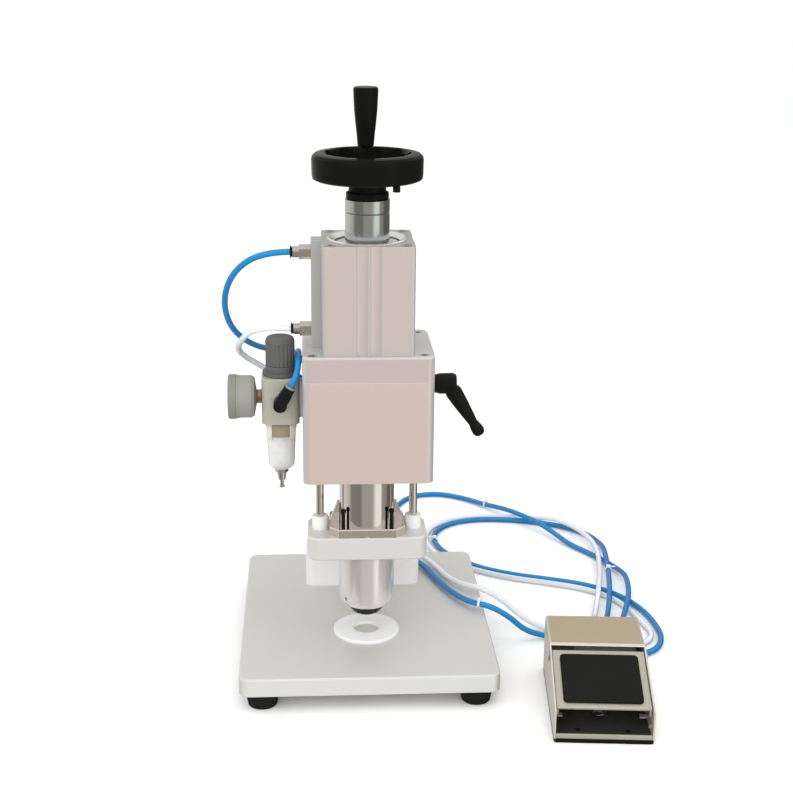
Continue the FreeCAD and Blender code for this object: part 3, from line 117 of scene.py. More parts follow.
# Fine grain, soft blotches and hair scratches in object space, and an edge mask from rounded normals
def makeSurfaceGroup():
    group, given, result, make = newGroup(
        "surfaceDetail",
        [("Grain scale", "Float", 900.0), ("Grain depth", "Float", 0.1), ("Blotch", "Float", 0.1),
         ("Scratch", "Float", 0.1), ("Edge", "Float", 0.0006)],
        [("Shade", "Float"), ("Rough", "Float"), ("Edge", "Float"), ("Normal", "Vector")])
    link = group.links.new
    where = make("ShaderNodeTexCoord").outputs["Object"]
    grain = make("ShaderNodeTexNoise", {"Vector": where, "Scale": given["Grain scale"], "Detail": 3.0,
                                        "Roughness": 0.6})
    cloud = make("ShaderNodeTexNoise", {"Vector": where, "Scale": 22.0, "Detail": 4.0, "Roughness": 0.55})
    stretched = make("ShaderNodeMapping", {"Vector": where, "Scale": (60.0, 900.0, 900.0),
                                           "Rotation": (0.2, 0.4, 0.5)})
    hairs = make("ShaderNodeTexNoise", {"Vector": stretched.outputs[0], "Scale": 1.0, "Detail": 1.0})
    hairMask = make("ShaderNodeMapRange", {"Value": hairs.outputs[0], "From Min": 0.68, "From Max": 0.75})
    rounded = make("ShaderNodeBevel", {"Radius": given["Edge"]}, samples=6)
    plain = make("ShaderNodeNewGeometry")
    facing = make("ShaderNodeVectorMath", {0: rounded.outputs[0], 1: plain.outputs["Normal"]},
                  operation="DOT_PRODUCT")
    edge = make("ShaderNodeMapRange", {"Value": facing.outputs["Value"], "From Min": 0.995, "From Max": 0.9})
    blotch = make("ShaderNodeMath", {0: cloud.outputs[0], 1: 0.5}, operation="SUBTRACT")
    blotchPart = make("ShaderNodeMath", {0: blotch.outputs[0], 1: given["Blotch"]}, operation="MULTIPLY")
    hairPart = make("ShaderNodeMath", {0: hairMask.outputs[0], 1: given["Scratch"]}, operation="MULTIPLY")
    shade = make("ShaderNodeMath", {0: blotchPart.outputs[0], 1: hairPart.outputs[0]}, operation="SUBTRACT")
    rough = make("ShaderNodeMath", {0: blotchPart.outputs[0], 1: hairPart.outputs[0]}, operation="ADD")
    bump = make("ShaderNodeBump", {"Height": grain.outputs[0], "Strength": given["Grain depth"],
                                   "Distance": 0.0004, "Normal": rounded.outputs[0]})
    link(shade.outputs[0], result["Shade"])
    link(rough.outputs[0], result["Rough"])
    link(edge.outputs[0], result["Edge"])
    link(bump.outputs[0], result["Normal"])
    return group


surfaceGroup = makeSurfaceGroup()


# Principled surface with the shared detail: the colour varies, edges are lifted and the grain is bump.
# A front colour, painted light standing for a reflection or shade, shows on the outermost faces that look
# along one direction, at first towards the operator
def surfaceMaterial(name, colour, rough, metal=0.0, grain=(900.0, 0.1), blotch=0.1, scratch=0.0,
                    edge=0.0006, edgeLift=0.3, front=None, along=(0.0, -1.0, 0.0), fade=(0.6, 0.98),
                    **shader):
    material = bpy.data.materials.new(name)
    material.use_nodes = True
    tree = material.node_tree
    tree.nodes.clear()
    make = nodeMaker(tree)
    detail = make("ShaderNodeGroup", node_tree=surfaceGroup)
    for title, value in (("Grain scale", grain[0]), ("Grain depth", grain[1]), ("Blotch", blotch),
                         ("Scratch", scratch), ("Edge", edge)):
        detail.inputs[title].default_value = value
    dark = [c * 0.78 for c in colour] + [1.0]
    light = [min(1.0, c * 1.14 + 0.01) for c in colour] + [1.0]
    base = make("ShaderNodeMapRange", {"Value": detail.outputs["Shade"], "From Min": -0.5, "From Max": 0.5})
    tone = make("ShaderNodeMix", {0: base.outputs[0], 6: dark, 7: light}, data_type="RGBA")
    last = tone.outputs[2]
    # Painted light: the front colour is mixed in by face direction and depth, for a reflection or shade that
    # falls on those faces
    if front is not None:
        turned = make("ShaderNodeVectorMath", {0: make("ShaderNodeNewGeometry").outputs["Normal"],
                                               1: along}, operation="DOT_PRODUCT").outputs["Value"]
        facing = make("ShaderNodeMapRange", {"Value": turned, "From Min": fade[0], "From Max": fade[1]})
        depth = make("ShaderNodeVectorMath", {0: make("ShaderNodeTexCoord").outputs["Object"], 1: along},
                     operation="DOT_PRODUCT").outputs["Value"]
        near = make("ShaderNodeMapRange", {"Value": depth, "From Min": 0.030, "From Max": 0.038})
        paintedLightShare = make("ShaderNodeMath", {0: facing.outputs[0], 1: near.outputs[0]}, operation="MULTIPLY")
        last = make("ShaderNodeMix", {0: paintedLightShare.outputs[0], 6: last, 7: list(front) + [1.0]},
                    data_type="RGBA").outputs[2]
    lift = make("ShaderNodeMath", {0: detail.outputs["Edge"], 1: edgeLift}, operation="MULTIPLY")
    rubbed = [min(1.0, c * 1.3 + 0.08) for c in colour] + [1.0]
    worn = make("ShaderNodeMix", {0: lift.outputs[0], 6: last, 7: rubbed}, data_type="RGBA")
    roughness = make("ShaderNodeMath", {0: detail.outputs["Rough"], 1: rough}, operation="ADD",
                     use_clamp=True)
    body = make("ShaderNodeBsdfPrincipled", {
        "Base Color": worn.outputs[2], "Metallic": metal, "Roughness": roughness.outputs[0],
        "Normal": detail.outputs["Normal"]})
    for title, value in shader.items():
        body.inputs[title.replace("_", " ")].default_value = value
    make("ShaderNodeOutputMaterial", {"Surface": body.outputs[0]})
    return material


# Thin clear plastic: see-through where it faces the eye, greyer and milkier towards its outline
def clearMaterial(name, colour, edgeColour, body, edgeBody, rough=0.12):
    material = bpy.data.materials.new(name)
    material.use_nodes = True
    tree = material.node_tree
    tree.nodes.clear()
    make = nodeMaker(tree)
    where = make("ShaderNodeTexCoord").outputs["Object"]
    haze = make("ShaderNodeTexNoise", {"Vector": where, "Scale": 160.0, "Detail": 3.0})
    facing = make("ShaderNodeLayerWeight", {"Blend": 0.45})
    thick = make("ShaderNodeMapRange", {"Value": facing.outputs["Facing"], "From Min": 0.1, "From Max": 0.9,
                                        "To Min": body, "To Max": edgeBody})
    hazed = make("ShaderNodeMath", {0: haze.outputs[0], 1: 0.12, 2: thick.outputs[0]},
                 operation="MULTIPLY_ADD")
    smooth = make("ShaderNodeMath", {0: haze.outputs[0], 1: 0.1, 2: rough}, operation="MULTIPLY_ADD")
    rim = make("ShaderNodeMapRange", {"Value": facing.outputs["Facing"], "From Min": 0.45, "From Max": 0.95})
    tone = make("ShaderNodeMix", {0: rim.outputs[0], 6: list(colour) + [1.0], 7: list(edgeColour) + [1.0]},
                data_type="RGBA")
    solid = make("ShaderNodeBsdfPrincipled", {
        "Base Color": tone.outputs[2], "Roughness": smooth.outputs[0], "IOR": 1.5,
        "Specular IOR Level": 0.35})
    through = make("ShaderNodeBsdfTransparent", {"Color": [0.97, 0.975, 0.975, 1.0]})
    mixed = make("ShaderNodeMixShader", {0: hazed.outputs[0], 1: through.outputs[0], 2: solid.outputs[0]})
    make("ShaderNodeOutputMaterial", {"Surface": mixed.outputs[0]})
    return material


# Blue polyurethane: deeper towards the outline, where the wall is seen along its thickness
def hoseMaterial():
    material = bpy.data.materials.new("blueHose")
    material.use_nodes = True
    tree = material.node_tree
    tree.nodes.clear()
    make = nodeMaker(tree)
    where = make("ShaderNodeTexCoord").outputs["Object"]
    cloud = make("ShaderNodeTexNoise", {"Vector": where, "Scale": 45.0, "Detail": 3.0})
    facing = make("ShaderNodeLayerWeight", {"Blend": 0.5})
    wall = make("ShaderNodeMapRange", {"Value": facing.outputs["Facing"], "From Min": 0.25, "From Max": 0.95})
    tone = make("ShaderNodeMix", {0: wall.outputs[0], 6: [0.006, 0.235, 0.55, 1], 7: [0.003, 0.09, 0.34, 1]},
                data_type="RGBA")
    smudge = make("ShaderNodeMapRange", {"Value": cloud.outputs[0], "From Min": 0.35, "From Max": 0.7,
                                         "To Min": 0.16, "To Max": 0.3})
    body = make("ShaderNodeBsdfPrincipled", {
        "Base Color": tone.outputs[2], "Roughness": smudge.outputs[0], "Specular IOR Level": 0.4})
    make("ShaderNodeOutputMaterial", {"Surface": body.outputs[0]})
    return material


finishes = {
    "aluminium": surfaceMaterial("anodisedAluminium", (0.78, 0.77, 0.75), 0.36, 0.2, (2600.0, 0.06), 0.06,
                                 0.05, edgeLift=0.5),
    "plateAluminium": surfaceMaterial("plateAluminium", (0.70, 0.68, 0.65), 0.36, 0.2, (2600.0, 0.06), 0.06,
                                      0.05, edgeLift=0.6),
    # Post foot: a brighter copy of the anodised aluminium, a painted reflection of the white surround
    "footAluminium": surfaceMaterial("footAluminium", (0.93, 0.925, 0.905), 0.40, 0.1, (2600.0, 0.06), 0.05,
                                     0.05, edgeLift=0.5),
    # Base plate: the front colour is a painted lighter reflection on its front faces
    "basePlate": surfaceMaterial("blastedPlate", (0.63, 0.615, 0.585), 0.42, 0.25, (3200.0, 0.10), 0.07, 0.06,
                                 edge=0.0009, edgeLift=0.7, front=(0.74, 0.745, 0.725)),
    # Head, cylinder and cap: their front colours are a painted warm reflection on the front faces
    "headFacePaintedWarmReflection": surfaceMaterial("headAluminiumPaintedWarmReflection", (0.52, 0.515, 0.50), 0.34, 0.3, (2600.0, 0.05), 0.06, 0.04,
                                edge=0.0009, edgeLift=0.7, front=(0.63, 0.518, 0.473)),
    "cylinderFace": surfaceMaterial("cylinderAluminium", (0.47, 0.47, 0.445), 0.34, 0.3, (2600.0, 0.05), 0.06,
                                    0.04, edge=0.0009, edgeLift=0.7, front=(0.578, 0.497, 0.462)),
    "capFace": surfaceMaterial("capAluminium", (0.60, 0.595, 0.575), 0.30, 0.3, (2600.0, 0.05), 0.06, 0.04,
                               edge=0.0009, edgeLift=0.7, front=(0.58, 0.485, 0.465)),
    "chrome": surfaceMaterial("chrome", (0.80, 0.755, 0.70), 0.06, 1.0, (1400.0, 0.01), 0.03, 0.02,
                              edge=0.0004),
    "satinChrome": surfaceMaterial("satinChrome", (0.86, 0.84, 0.81), 0.20, 0.72, (1800.0, 0.02), 0.04, 0.03,
                                   edge=0.0005),
    "steel": surfaceMaterial("steel", (0.58, 0.61, 0.60), 0.16, 1.0, (1500.0, 0.02), 0.05, 0.04, edge=0.0004),
    "nickel": surfaceMaterial("nickel", (0.62, 0.59, 0.54), 0.16, 1.0, (1500.0, 0.03), 0.08, 0.06,
                              edge=0.0004),
    "polished": surfaceMaterial("polishedAluminium", (0.84, 0.84, 0.83), 0.14, 0.8, (2600.0, 0.02), 0.05,
                                0.04, edge=0.0005),
    "blackSteel": surfaceMaterial("blackSteel", (0.006, 0.005, 0.004), 0.34, 0.0, (1200.0, 0.1), 0.15, 0.1,
                                  edge=0.0004, edgeLift=0.02, Specular_IOR_Level=0.12),
    "rubber": surfaceMaterial("rubber", (0.010, 0.010, 0.009), 0.80, 0.0, (700.0, 0.35), 0.25, 0.0,
                              edgeLift=0.03, Specular_IOR_Level=0.10),
    "padRubber": surfaceMaterial("padRubber", (0.0085, 0.009, 0.0075), 0.85, 0.0, (500.0, 0.30), 0.25, 0.0,
                                 edgeLift=0.03, Specular_IOR_Level=0.04),
    "nylon": surfaceMaterial("nylon", (0.88, 0.89, 0.86), 0.48, 0.0, (1100.0, 0.06), 0.10, 0.06, edgeLift=0.1,
                             Subsurface_Weight=0.1, Subsurface_Scale=0.003),
    "blackGloss": surfaceMaterial("blackGloss", (0.0028, 0.0028, 0.0020), 0.14, 0.0, (380.0, 0.01), 0.16, 0.0,
                                  edge=0.0008, edgeLift=0.02, Specular_IOR_Level=0.04),
    "blackSatin": surfaceMaterial("blackSatin", (0.0055, 0.0055, 0.0045), 0.34, 0.0, (900.0, 0.12), 0.15,
                                  0.02, edgeLift=0.02, Specular_IOR_Level=0.06),
    "darkGrey": surfaceMaterial("darkGreyPlastic", (0.115, 0.115, 0.108), 0.50, 0.0, (1300.0, 0.22), 0.14,
                                0.03, edgeLift=0.2, Specular_IOR_Level=0.2),
    "beige": surfaceMaterial("regulatorPaint", (0.40, 0.395, 0.33), 0.42, 0.0, (1500.0, 0.10), 0.08, 0.03,
                             edgeLift=0.3, Specular_IOR_Level=0.3),
    "gaugeGrey": surfaceMaterial("gaugeGrey", (0.30, 0.30, 0.26), 0.42, 0.0, (1500.0, 0.12), 0.08, 0.04,
                                 edgeLift=0.2, Specular_IOR_Level=0.3),
    "bezelGrey": surfaceMaterial("bezelGrey", (0.235, 0.24, 0.205), 0.35, 0.0, (1500.0, 0.12), 0.08, 0.04,
                                 edgeLift=0.2, Specular_IOR_Level=0.3),
    "bronze": surfaceMaterial("bronze", (0.42, 0.29, 0.15), 0.32, 1.0, (1500.0, 0.08), 0.15, 0.1),
    "brass": surfaceMaterial("brass", (0.36, 0.27, 0.15), 0.28, 1.0, (1500.0, 0.06), 0.2, 0.1, edge=0.0003),
    # Pedal cover: the front colour is a painted darker, warmer reflection on its upward faces
    "pedalPaint": surfaceMaterial("pedalNickel", (0.60, 0.57, 0.49), 0.36, 0.25, (1800.0, 0.08), 0.10, 0.08,
                                  edge=0.0010, edgeLift=0.9, front=(0.405, 0.33, 0.212),
                                  along=(0.0, 0.0, 1.0), fade=(0.97, 0.995)),
    "treadleNickel": surfaceMaterial("treadleNickel", (0.46, 0.44, 0.36), 0.30, 0.35, (1800.0, 0.06), 0.10,
                                     0.08, edge=0.0008, edgeLift=0.9),
    # Pedal base: the front colour is painted shade, nearly black, on its front faces
    "pedalDark": surfaceMaterial("pedalDark", (0.045, 0.046, 0.037), 0.40, 0.1, (1200.0, 0.15), 0.2, 0.1,
                                 edgeLift=0.05, front=(0.006, 0.006, 0.005), Specular_IOR_Level=0.15),
    "filter": surfaceMaterial("filterFelt", (0.66, 0.63, 0.56), 0.8, 0.0, (600.0, 0.5), 0.15, 0.0,
                              edgeLift=0.0),
    "amber": surfaceMaterial("amberWindow", (0.34, 0.25, 0.17), 0.22, 0.0, (500.0, 0.05), 0.3, 0.05,
                             edgeLift=0.1),
    "guard": surfaceMaterial("guardPlastic", (0.74, 0.74, 0.70), 0.4, 0.0, (900.0, 0.1), 0.1, 0.0,
                             edgeLift=0.1),
    "dial": surfaceMaterial("dialPaper", (0.80, 0.80, 0.78), 0.5, 0.0, (900.0, 0.05), 0.08, 0.0,
                            edgeLift=0.0),
    "clearBowl": clearMaterial("clearBowl", (0.92, 0.92, 0.90), (0.46, 0.47, 0.47), 0.42, 0.92),
    "clearLens": clearMaterial("clearLens", (0.8, 0.82, 0.82), (0.6, 0.62, 0.62), 0.06, 0.3, 0.05),
    "clearHose": clearMaterial("clearHose", (0.93, 0.95, 0.97), (0.50, 0.53, 0.58), 0.55, 0.95, 0.16),
    "blueHose": hoseMaterial(),
}

cadFinishes = {
    "base_plate": "basePlate", "rubber_feet": "rubber", "base_screws": "steel", "seat_disc": "nylon",
    "post_foot": "footAluminium", "post": "chrome", "pedal_base": "pedalDark", "pedal_cover": "pedalPaint",
    "pedal_hinge_pin": "steel", "pedal_valve": "aluminium", "pedal_fittings": "nickel",
    "treadle_spring": "steel", "head_block": "headFacePaintedWarmReflection", "head_cap": "capFace", "cap_screws": "steel",
    "guide_bushings": "bronze", "post_clamp": "aluminium", "cylinder_body": "cylinderFace",
    "cylinder_screws": "steel", "cylinder_cover": "polished", "cylinder_fittings": "nickel",
    "regulator_body": "beige", "regulator_mount": "aluminium", "regulator_bonnet": "darkGrey",
    "regulator_bowl": "clearBowl", "filter_element": "filter", "drain_seat": "nickel",
    "gauge_case": "gaugeGrey", "gauge_lens": "clearLens", "outlet_elbow": "blackSatin",
    "moving_plate": "plateAluminium", "guide_rods": "chrome", "guide_collars": "nylon", "ram_tube": "chrome",
    "crimp_flange": "chrome", "crimp_sleeve": "satinChrome", "piston": "aluminium", "spindle": "steel",
    "release_pin_left": "blackSatin", "release_pin_right": "blackSatin", "collet": "blackSteel",
    "ejector_pin": "steel", "stop_sleeve": "steel", "handwheel": "blackGloss", "spinner_grip": "blackGloss",
    "regulator_screw": "steel", "regulator_knob": "darkGrey", "gauge_needle": "blackSatin",
    "drain_pin": "nickel", "clamp_stud": "steel", "clamp_lever": "blackSatin", "treadle": "treadleNickel",
    "treadle_pad": "padRubber", "pedal_spool": "steel",
}
for name, finish in cadFinishes.items():
    node = cad[name]
    if not node.material_slots:
        node.data.materials.append(finishes[finish])
    for slot in node.material_slots:
        slot.material = finishes[finish]
print("stage: materials made")


# Shared mesh makers
# Links a finished mesh as a piece that rides on a body of the machine
def addPiece(name, mesh, body, finish, smoothAngle=35.0):
    work = bmesh.new()
    work.from_mesh(mesh)
    bmesh.ops.remove_doubles(work, verts=work.verts, dist=1e-7)
    bmesh.ops.recalc_face_normals(work, faces=work.faces)
    work.to_mesh(mesh)
    work.free()
    mesh.shade_smooth()
    mesh.set_sharp_from_angle(angle=math.radians(smoothAngle))
    mesh.materials.append(finishes[finish])
    piece = bpy.data.objects.new(name, mesh)
    scene.collection.objects.link(piece)
    if body:
        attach(piece, body)
    return piece


# Adds a round tube along a path of points to a bmesh, with turning kept to the least
def sweep(work, path, radius, sides=16, closed=False):
    count = len(path)
    rings = []
    side = None
    for index, point in enumerate(path):
        before = path[index - 1] if index > 0 or closed else point
        after = path[(index + 1) % count] if index < count - 1 or closed else point
        along = (after - before).normalized()
        if side is None:
            side = along.orthogonal().normalized()
        side = (side - along * side.dot(along)).normalized()
        other = along.cross(side)
        size = radius[index] if isinstance(radius, list) else radius
        rings.append([
            work.verts.new(point + size * (math.cos(a) * side + math.sin(a) * other))
            for a in (2 * math.pi * k / sides for k in range(sides))])
    pairs = list(zip(rings, rings[1:])) + ([(rings[-1], rings[0])] if closed else [])
    for first, second in pairs:
        for k in range(sides):
            work.faces.new((first[k], first[(k + 1) % sides], second[(k + 1) % sides], second[k]))
    if not closed:
        work.faces.new(rings[0][::-1])
        work.faces.new(rings[-1])
    return rings


def toMesh(work, name):
    mesh = bpy.data.meshes.new(name)
    work.to_mesh(mesh)
    work.free()
    return mesh


# Air hoses: one limp tube each, from its fitting, down behind the machine and over the floor to the pedal
hoseSizes = {
    "radius": 0.003, "sides": 18, "resolution": 10, "blendLow": 0.062, "blendHigh": 0.236,
}
hoseRoutes = {
    "hose_top": ("blueHose", "blue_hose", [
        (-70, 0, 424), (-98, 0, 424), (-126, 12, 404), (-138, 34, 372), (-134, 54, 340), (-119, 74, 318),
        (-99, 95, 304), (-81, 120, 297), (-68, 150, 284), (-53, 182, 255), (-29, 201, 223), (-7, 210, 186),
        (5, 212, 150), (8, 212, 112), (11, 214, 72), (18, 225, 34), (28, 249, 10), (36, 283, 3.3),
        (42, 328, 3.3), (48, 378, 3.3), (56, 424, 3.3), (78, 456, 3.3), (112, 463, 3.3), (144, 446, 3.3),
        (171, 417, 4.4), (186, 396, 8.5), (202, 371, 12), (226, 338, 11.8), (243, 311, 8), (257, 286, 3.5),
        (275, 260, 3.3), (291, 233, 3.3), (301, 206, 5), (304, 176, 10.5), (301, 146, 11.5),
        (295, 116, 11.5), (286, 87, 11), (277, 60, 12), (268, 35, 19), (258.5, 12, 27.5),
        (254.48, -4.2, 30), (253.21, -18.74, 30)]),
    "hose_bottom": ("clearHose", "clear_hose", [
        (-70, 0, 350), (-92, 0, 351), (-111, 9, 346), (-122, 28, 330.5), (-126, 50, 316), (-118, 76, 300),
        (-101, 103, 282), (-86, 131, 264), (-73, 160, 244), (-51, 186, 222), (-25, 199, 194),
        (1, 195, 168), (19, 190, 143), (26, 188, 112), (30, 189, 82), (44, 187, 55), (66, 176, 41),
        (82, 150, 38.5), (92, 118, 38.5), (108, 92, 40), (128, 80, 40.5), (149, 76, 29), (168, 72, 11.5),
        (187, 61, 4), (208, 46, 3.3), (229, 30, 3.3), (255.4, 10.4, 3.3), (278.1, 9.6, 3.3),
        (297.1, 22, 3.3), (305.6, 43, 3.3), (299, 72, 3.3), (293, 102, 3.3), (279, 133, 3.3),
        (252, 157, 3.3), (214, 173.5, 3.3), (172, 189, 3.3), (131, 215, 3.3), (99, 249, 3.3),
        (84, 290, 3.3), (87, 332, 3.3), (112, 367, 3.3), (152, 380, 3.3), (190, 378, 3.3), (222, 370, 4),
        (246, 354, 10), (262, 334, 11.3), (275, 309, 11.3), (284, 279, 11), (285, 247, 11.3),
        (281, 215, 11.3), (276, 184, 11.3), (269, 152, 11.3), (262, 122, 10), (254, 92, 7), (246, 64, 9),
        (236, 36, 17), (224, 14, 27), (218.61, -1.07, 30), (217.34, -15.61, 30)]),
    "hose_supply": ("blueHose", "blue_hose", [
        (-74, -31, 299.6), (-69.2, -31, 307.9), (-66.3, -27.1, 316.2), (-65.5, -19.1, 323.3),
        (-65.5, -5.6, 326.4), (-65.6, 14, 324.5), (-67.5, 40, 315), (-70, 74, 300), (-71, 102, 284),
        (-71, 132, 268), (-62, 160, 251), (-42, 178, 234), (-18, 186, 211), (4, 186, 182), (14, 184, 150),
        (16, 182, 116), (18, 180, 84), (30, 179, 56), (52, 172, 41), (70, 148, 38.5), (80, 112, 38.5),
        (95, 74, 38.5), (111, 46, 40.5), (130, 36, 41), (150, 33, 30), (168, 36, 12), (187, 40, 4),
        (208, 33, 3.3), (232, 16, 3.3), (256, -4, 3.3), (282, -8, 3.3), (304, 6, 3.3), (314, 34, 3.3),
        (313, 68, 3.3), (306, 104, 3.3), (287, 140, 3.3), (257, 167, 3.3), (218, 183, 3.3),
        (176, 198, 3.3), (138, 221, 3.3), (108, 253, 4.4), (94, 290, 4.4), (96, 328, 3.3), (118, 358, 3.3),
        (152, 370, 3.3), (190, 368, 3.3), (228, 358, 3.3), (262, 341, 3.3), (286, 316, 3.3), (295, 284, 5),
        (294, 250, 11), (290, 214, 11.3), (285, 178, 11.3), (279, 142, 11.3), (272, 108, 11),
        (264, 76, 10), (256, 48, 15), (246, 30, 22), (239, 14, 28), (236.55, -2.64, 30),
        (235.28, -17.18, 30)]),
}


# The smooth line through a route: a NURBS spline with the points as its control points
def routeLine(name, points):
    curve = bpy.data.curves.new(name, "CURVE")
    curve.dimensions = "3D"
    curve.resolution_u = hoseSizes["resolution"]
    spline = curve.splines.new("NURBS")
    spline.points.add(len(points) - 1)
    for target, (x, y, z) in zip(spline.points, points):
        target.co = (x / 1000, y / 1000, z / 1000, 1)
    spline.order_u = 3
    spline.use_endpoint_u = True
    holder = bpy.data.objects.new(name, curve)
    scene.collection.objects.link(holder)
    bpy.context.view_layer.update()
    mesh = bpy.data.meshes.new_from_object(holder)
    line = [v.co.copy() for v in mesh.vertices]
    bpy.data.objects.remove(holder)
    bpy.data.curves.remove(curve)
    bpy.data.meshes.remove(mesh)
    return line


hoseLines = {}
for name, (finish, slot, points) in hoseRoutes.items():
    line = routeLine(name + "_line", points)
    hoseLines[name] = line
    work = bmesh.new()
    sweep(work, line, hoseSizes["radius"], hoseSizes["sides"])
    hose = addPiece(name, toMesh(work, name), None, finish, 80)
    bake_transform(hose)
    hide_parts(name + "_upper", name + "_lower")
    print("hose", name, "length %.3f" % sum((b - a).length for a, b in zip(line, line[1:])))
print("stage: hoses laid")

onHose = {name: [] for name in hoseLines}


# Makers of the small pieces; sizes in mm, in the piece's own place
# The place at a point whose own Z looks along a direction
def placeAt(spot, direction=(0, 0, 1)):
    turn = Vector((0, 0, 1)).rotation_difference(Vector(direction))
    return Matrix.Translation(Vector(spot) / 1000) @ turn.to_matrix().to_4x4()


# A closed half outline of radius and height pairs, spun about the place's own axis
def spun(work, outline, place, steps=56, turn=2 * math.pi):
    before = set(work.verts)
    ring = [work.verts.new((r / 1000, 0, z / 1000)) for r, z in outline]
    edges = [work.edges.new(pair) for pair in zip(ring, ring[1:] + ring[:1])]
    full = turn > 6.28
    made = bmesh.ops.spin(work, geom=ring + edges, cent=(0, 0, 0), axis=(0, 0, 1), angle=turn, steps=steps,
                          use_merge=full)
    if not full:
        last = [item for item in made["geom_last"] if isinstance(item, bmesh.types.BMEdge)]
        bmesh.ops.holes_fill(work, edges=edges + last, sides=0)
    bmesh.ops.transform(work, matrix=place, verts=[v for v in work.verts if v not in before])


# A box between two corners with all its edges rounded
def softBox(work, low, high, round, place, segments=3):
    before = set(work.verts)
    middle = [(a + b) / 2000 for a, b in zip(low, high)]
    size = [(b - a) / 1000 for a, b in zip(low, high)]
    bmesh.ops.create_cube(work, size=1, matrix=Matrix.Translation(middle) @ Matrix.Diagonal((*size, 1)))
    edges = {e for v in work.verts if v not in before for e in v.link_edges}
    bmesh.ops.bevel(work, geom=list(edges), offset=round / 1000, segments=segments, profile=0.5,
                    affect="EDGES", material=-1)
    bmesh.ops.transform(work, matrix=place, verts=[v for v in work.verts if v not in before])


pedalPlace = placeAt((211.5, -174.2, 0)) @ Matrix.Rotation(math.radians(-5), 4, "Z")


# Black release rings of the push-in fittings, and the light one of the regulator's elbow
releaseSizes = {
    "outline": [(3.15, 0), (4.6, 0), (4.6, 0.8), (5.3, 1.1), (5.7, 1.5), (5.7, 2.1), (5.3, 2.4), (3.5, 2.4),
                (3.15, 2.1)],
    "portX": -70, "portHeights": (424, 350), "flat": 345.7,
    "pedalAcross": (-8, 10, 28), "pedalBack": 158.5, "pedalUp": 30,
    "elbow": (-74, -31, 299.6), "elbowLean": (0.5, 0, 0.866),
}


def makeReleaseRings():
    sizes = releaseSizes
    outline = sizes["outline"]
    work = bmesh.new()
    for height in sizes["portHeights"]:
        spun(work, outline, placeAt((sizes["portX"], 0, height), (-1, 0, 0)))
    cut = bmesh.ops.bisect_plane(work, geom=work.verts[:] + work.edges[:] + work.faces[:], dist=1e-7,
                                 plane_co=(0, 0, sizes["flat"] / 1000), plane_no=(0, 0, -1),
                                 clear_outer=True)
    edges = [item for item in cut["geom_cut"] if isinstance(item, bmesh.types.BMEdge)]
    bmesh.ops.holes_fill(work, edges=edges, sides=0)
    addPiece("port_release_rings", toMesh(work, "portReleaseRings"), "head", "blackSatin")
    work = bmesh.new()
    for across in sizes["pedalAcross"]:
        spun(work, outline, pedalPlace @ placeAt((across, sizes["pedalBack"], sizes["pedalUp"]), (0, 1, 0)))
    addPiece("pedal_release_rings", toMesh(work, "pedalReleaseRings"), "stand", "blackSatin")
    work = bmesh.new()
    spun(work, outline, placeAt(sizes["elbow"], sizes["elbowLean"]))
    addPiece("elbow_release_ring", toMesh(work, "elbowReleaseRing"), "head", "gaugeGrey")


makeReleaseRings()


# Sight window of the filter bowl with its two clear guards, curved round the bowl's collar
windowSizes = {
    "axisX": -83, "low": 246, "high": 258, "inside": 15.05, "outside": 16.1, "halfAngle": 31,
    "guardLow": 243.5, "guardHigh": 259.3, "guardInside": 15.05, "guardOutside": 17.0, "guardAngle": 24,
    "centre": -90,
}


def makeSightWindow():
    sizes = windowSizes
    work = bmesh.new()
    low, high = sizes["low"], sizes["high"]
    near, far = sizes["inside"], sizes["outside"]
    start = sizes["centre"] - sizes["halfAngle"]
    place = placeAt((sizes["axisX"], 0, 0)) @ Matrix.Rotation(math.radians(start), 4, "Z")
    spun(work, [(near, low), (far - 0.3, low), (far, low + 0.4), (far, high - 0.4), (far - 0.3, high),
                (near, high)], place, 20, math.radians(2 * sizes["halfAngle"]))
    addPiece("sight_window", toMesh(work, "sightWindow"), "head", "amber")
    work = bmesh.new()
    low, high = sizes["guardLow"], sizes["guardHigh"]
    near, far = sizes["guardInside"], sizes["guardOutside"]
    outline = [(near, low), (far - 0.9, low), (far, low + 1.4), (far, high - 1.4), (far - 0.9, high),
               (near, high)]
    for start in (sizes["centre"] + sizes["halfAngle"] + 1,
                  sizes["centre"] - sizes["halfAngle"] - 1 - sizes["guardAngle"]):
        place = placeAt((sizes["axisX"], 0, 0)) @ Matrix.Rotation(math.radians(start), 4, "Z")
        spun(work, outline, place, 14, math.radians(sizes["guardAngle"]))
    addPiece("bowl_guards", toMesh(work, "bowlGuards"), "head", "guard")


makeSightWindow()


# Gauge: bezel round the open front, printed dial behind the needle, brass collar on the stem
gaugeSizes = {
    "up": 283, "bezelX": -125,
    "bezel": [(21.03, 0), (21.4, 0.3), (21.6, 0.8), (21.6, 7.2), (21.1, 7.9), (20.4, 8.1), (19.5, 8.0),
              (18.9, 7.3), (18.9, 5.1), (21.03, 5.1)],
    "dialX": -124.0, "dial": [(1.2, 0), (18.5, 0), (18.5, 0.12), (1.2, 0.12)],
    "ticks": 28, "sweep": 270, "tickFrom": 12.6, "tickTo": 15.4, "longFrom": 11.2, "tickWide": 0.35,
    "stemX": -101.2,
    "stem": [(5.05, 0), (6.3, 0), (6.8, 0.5), (6.8, 3.9), (6.3, 4.5), (5.05, 4.5)],
}


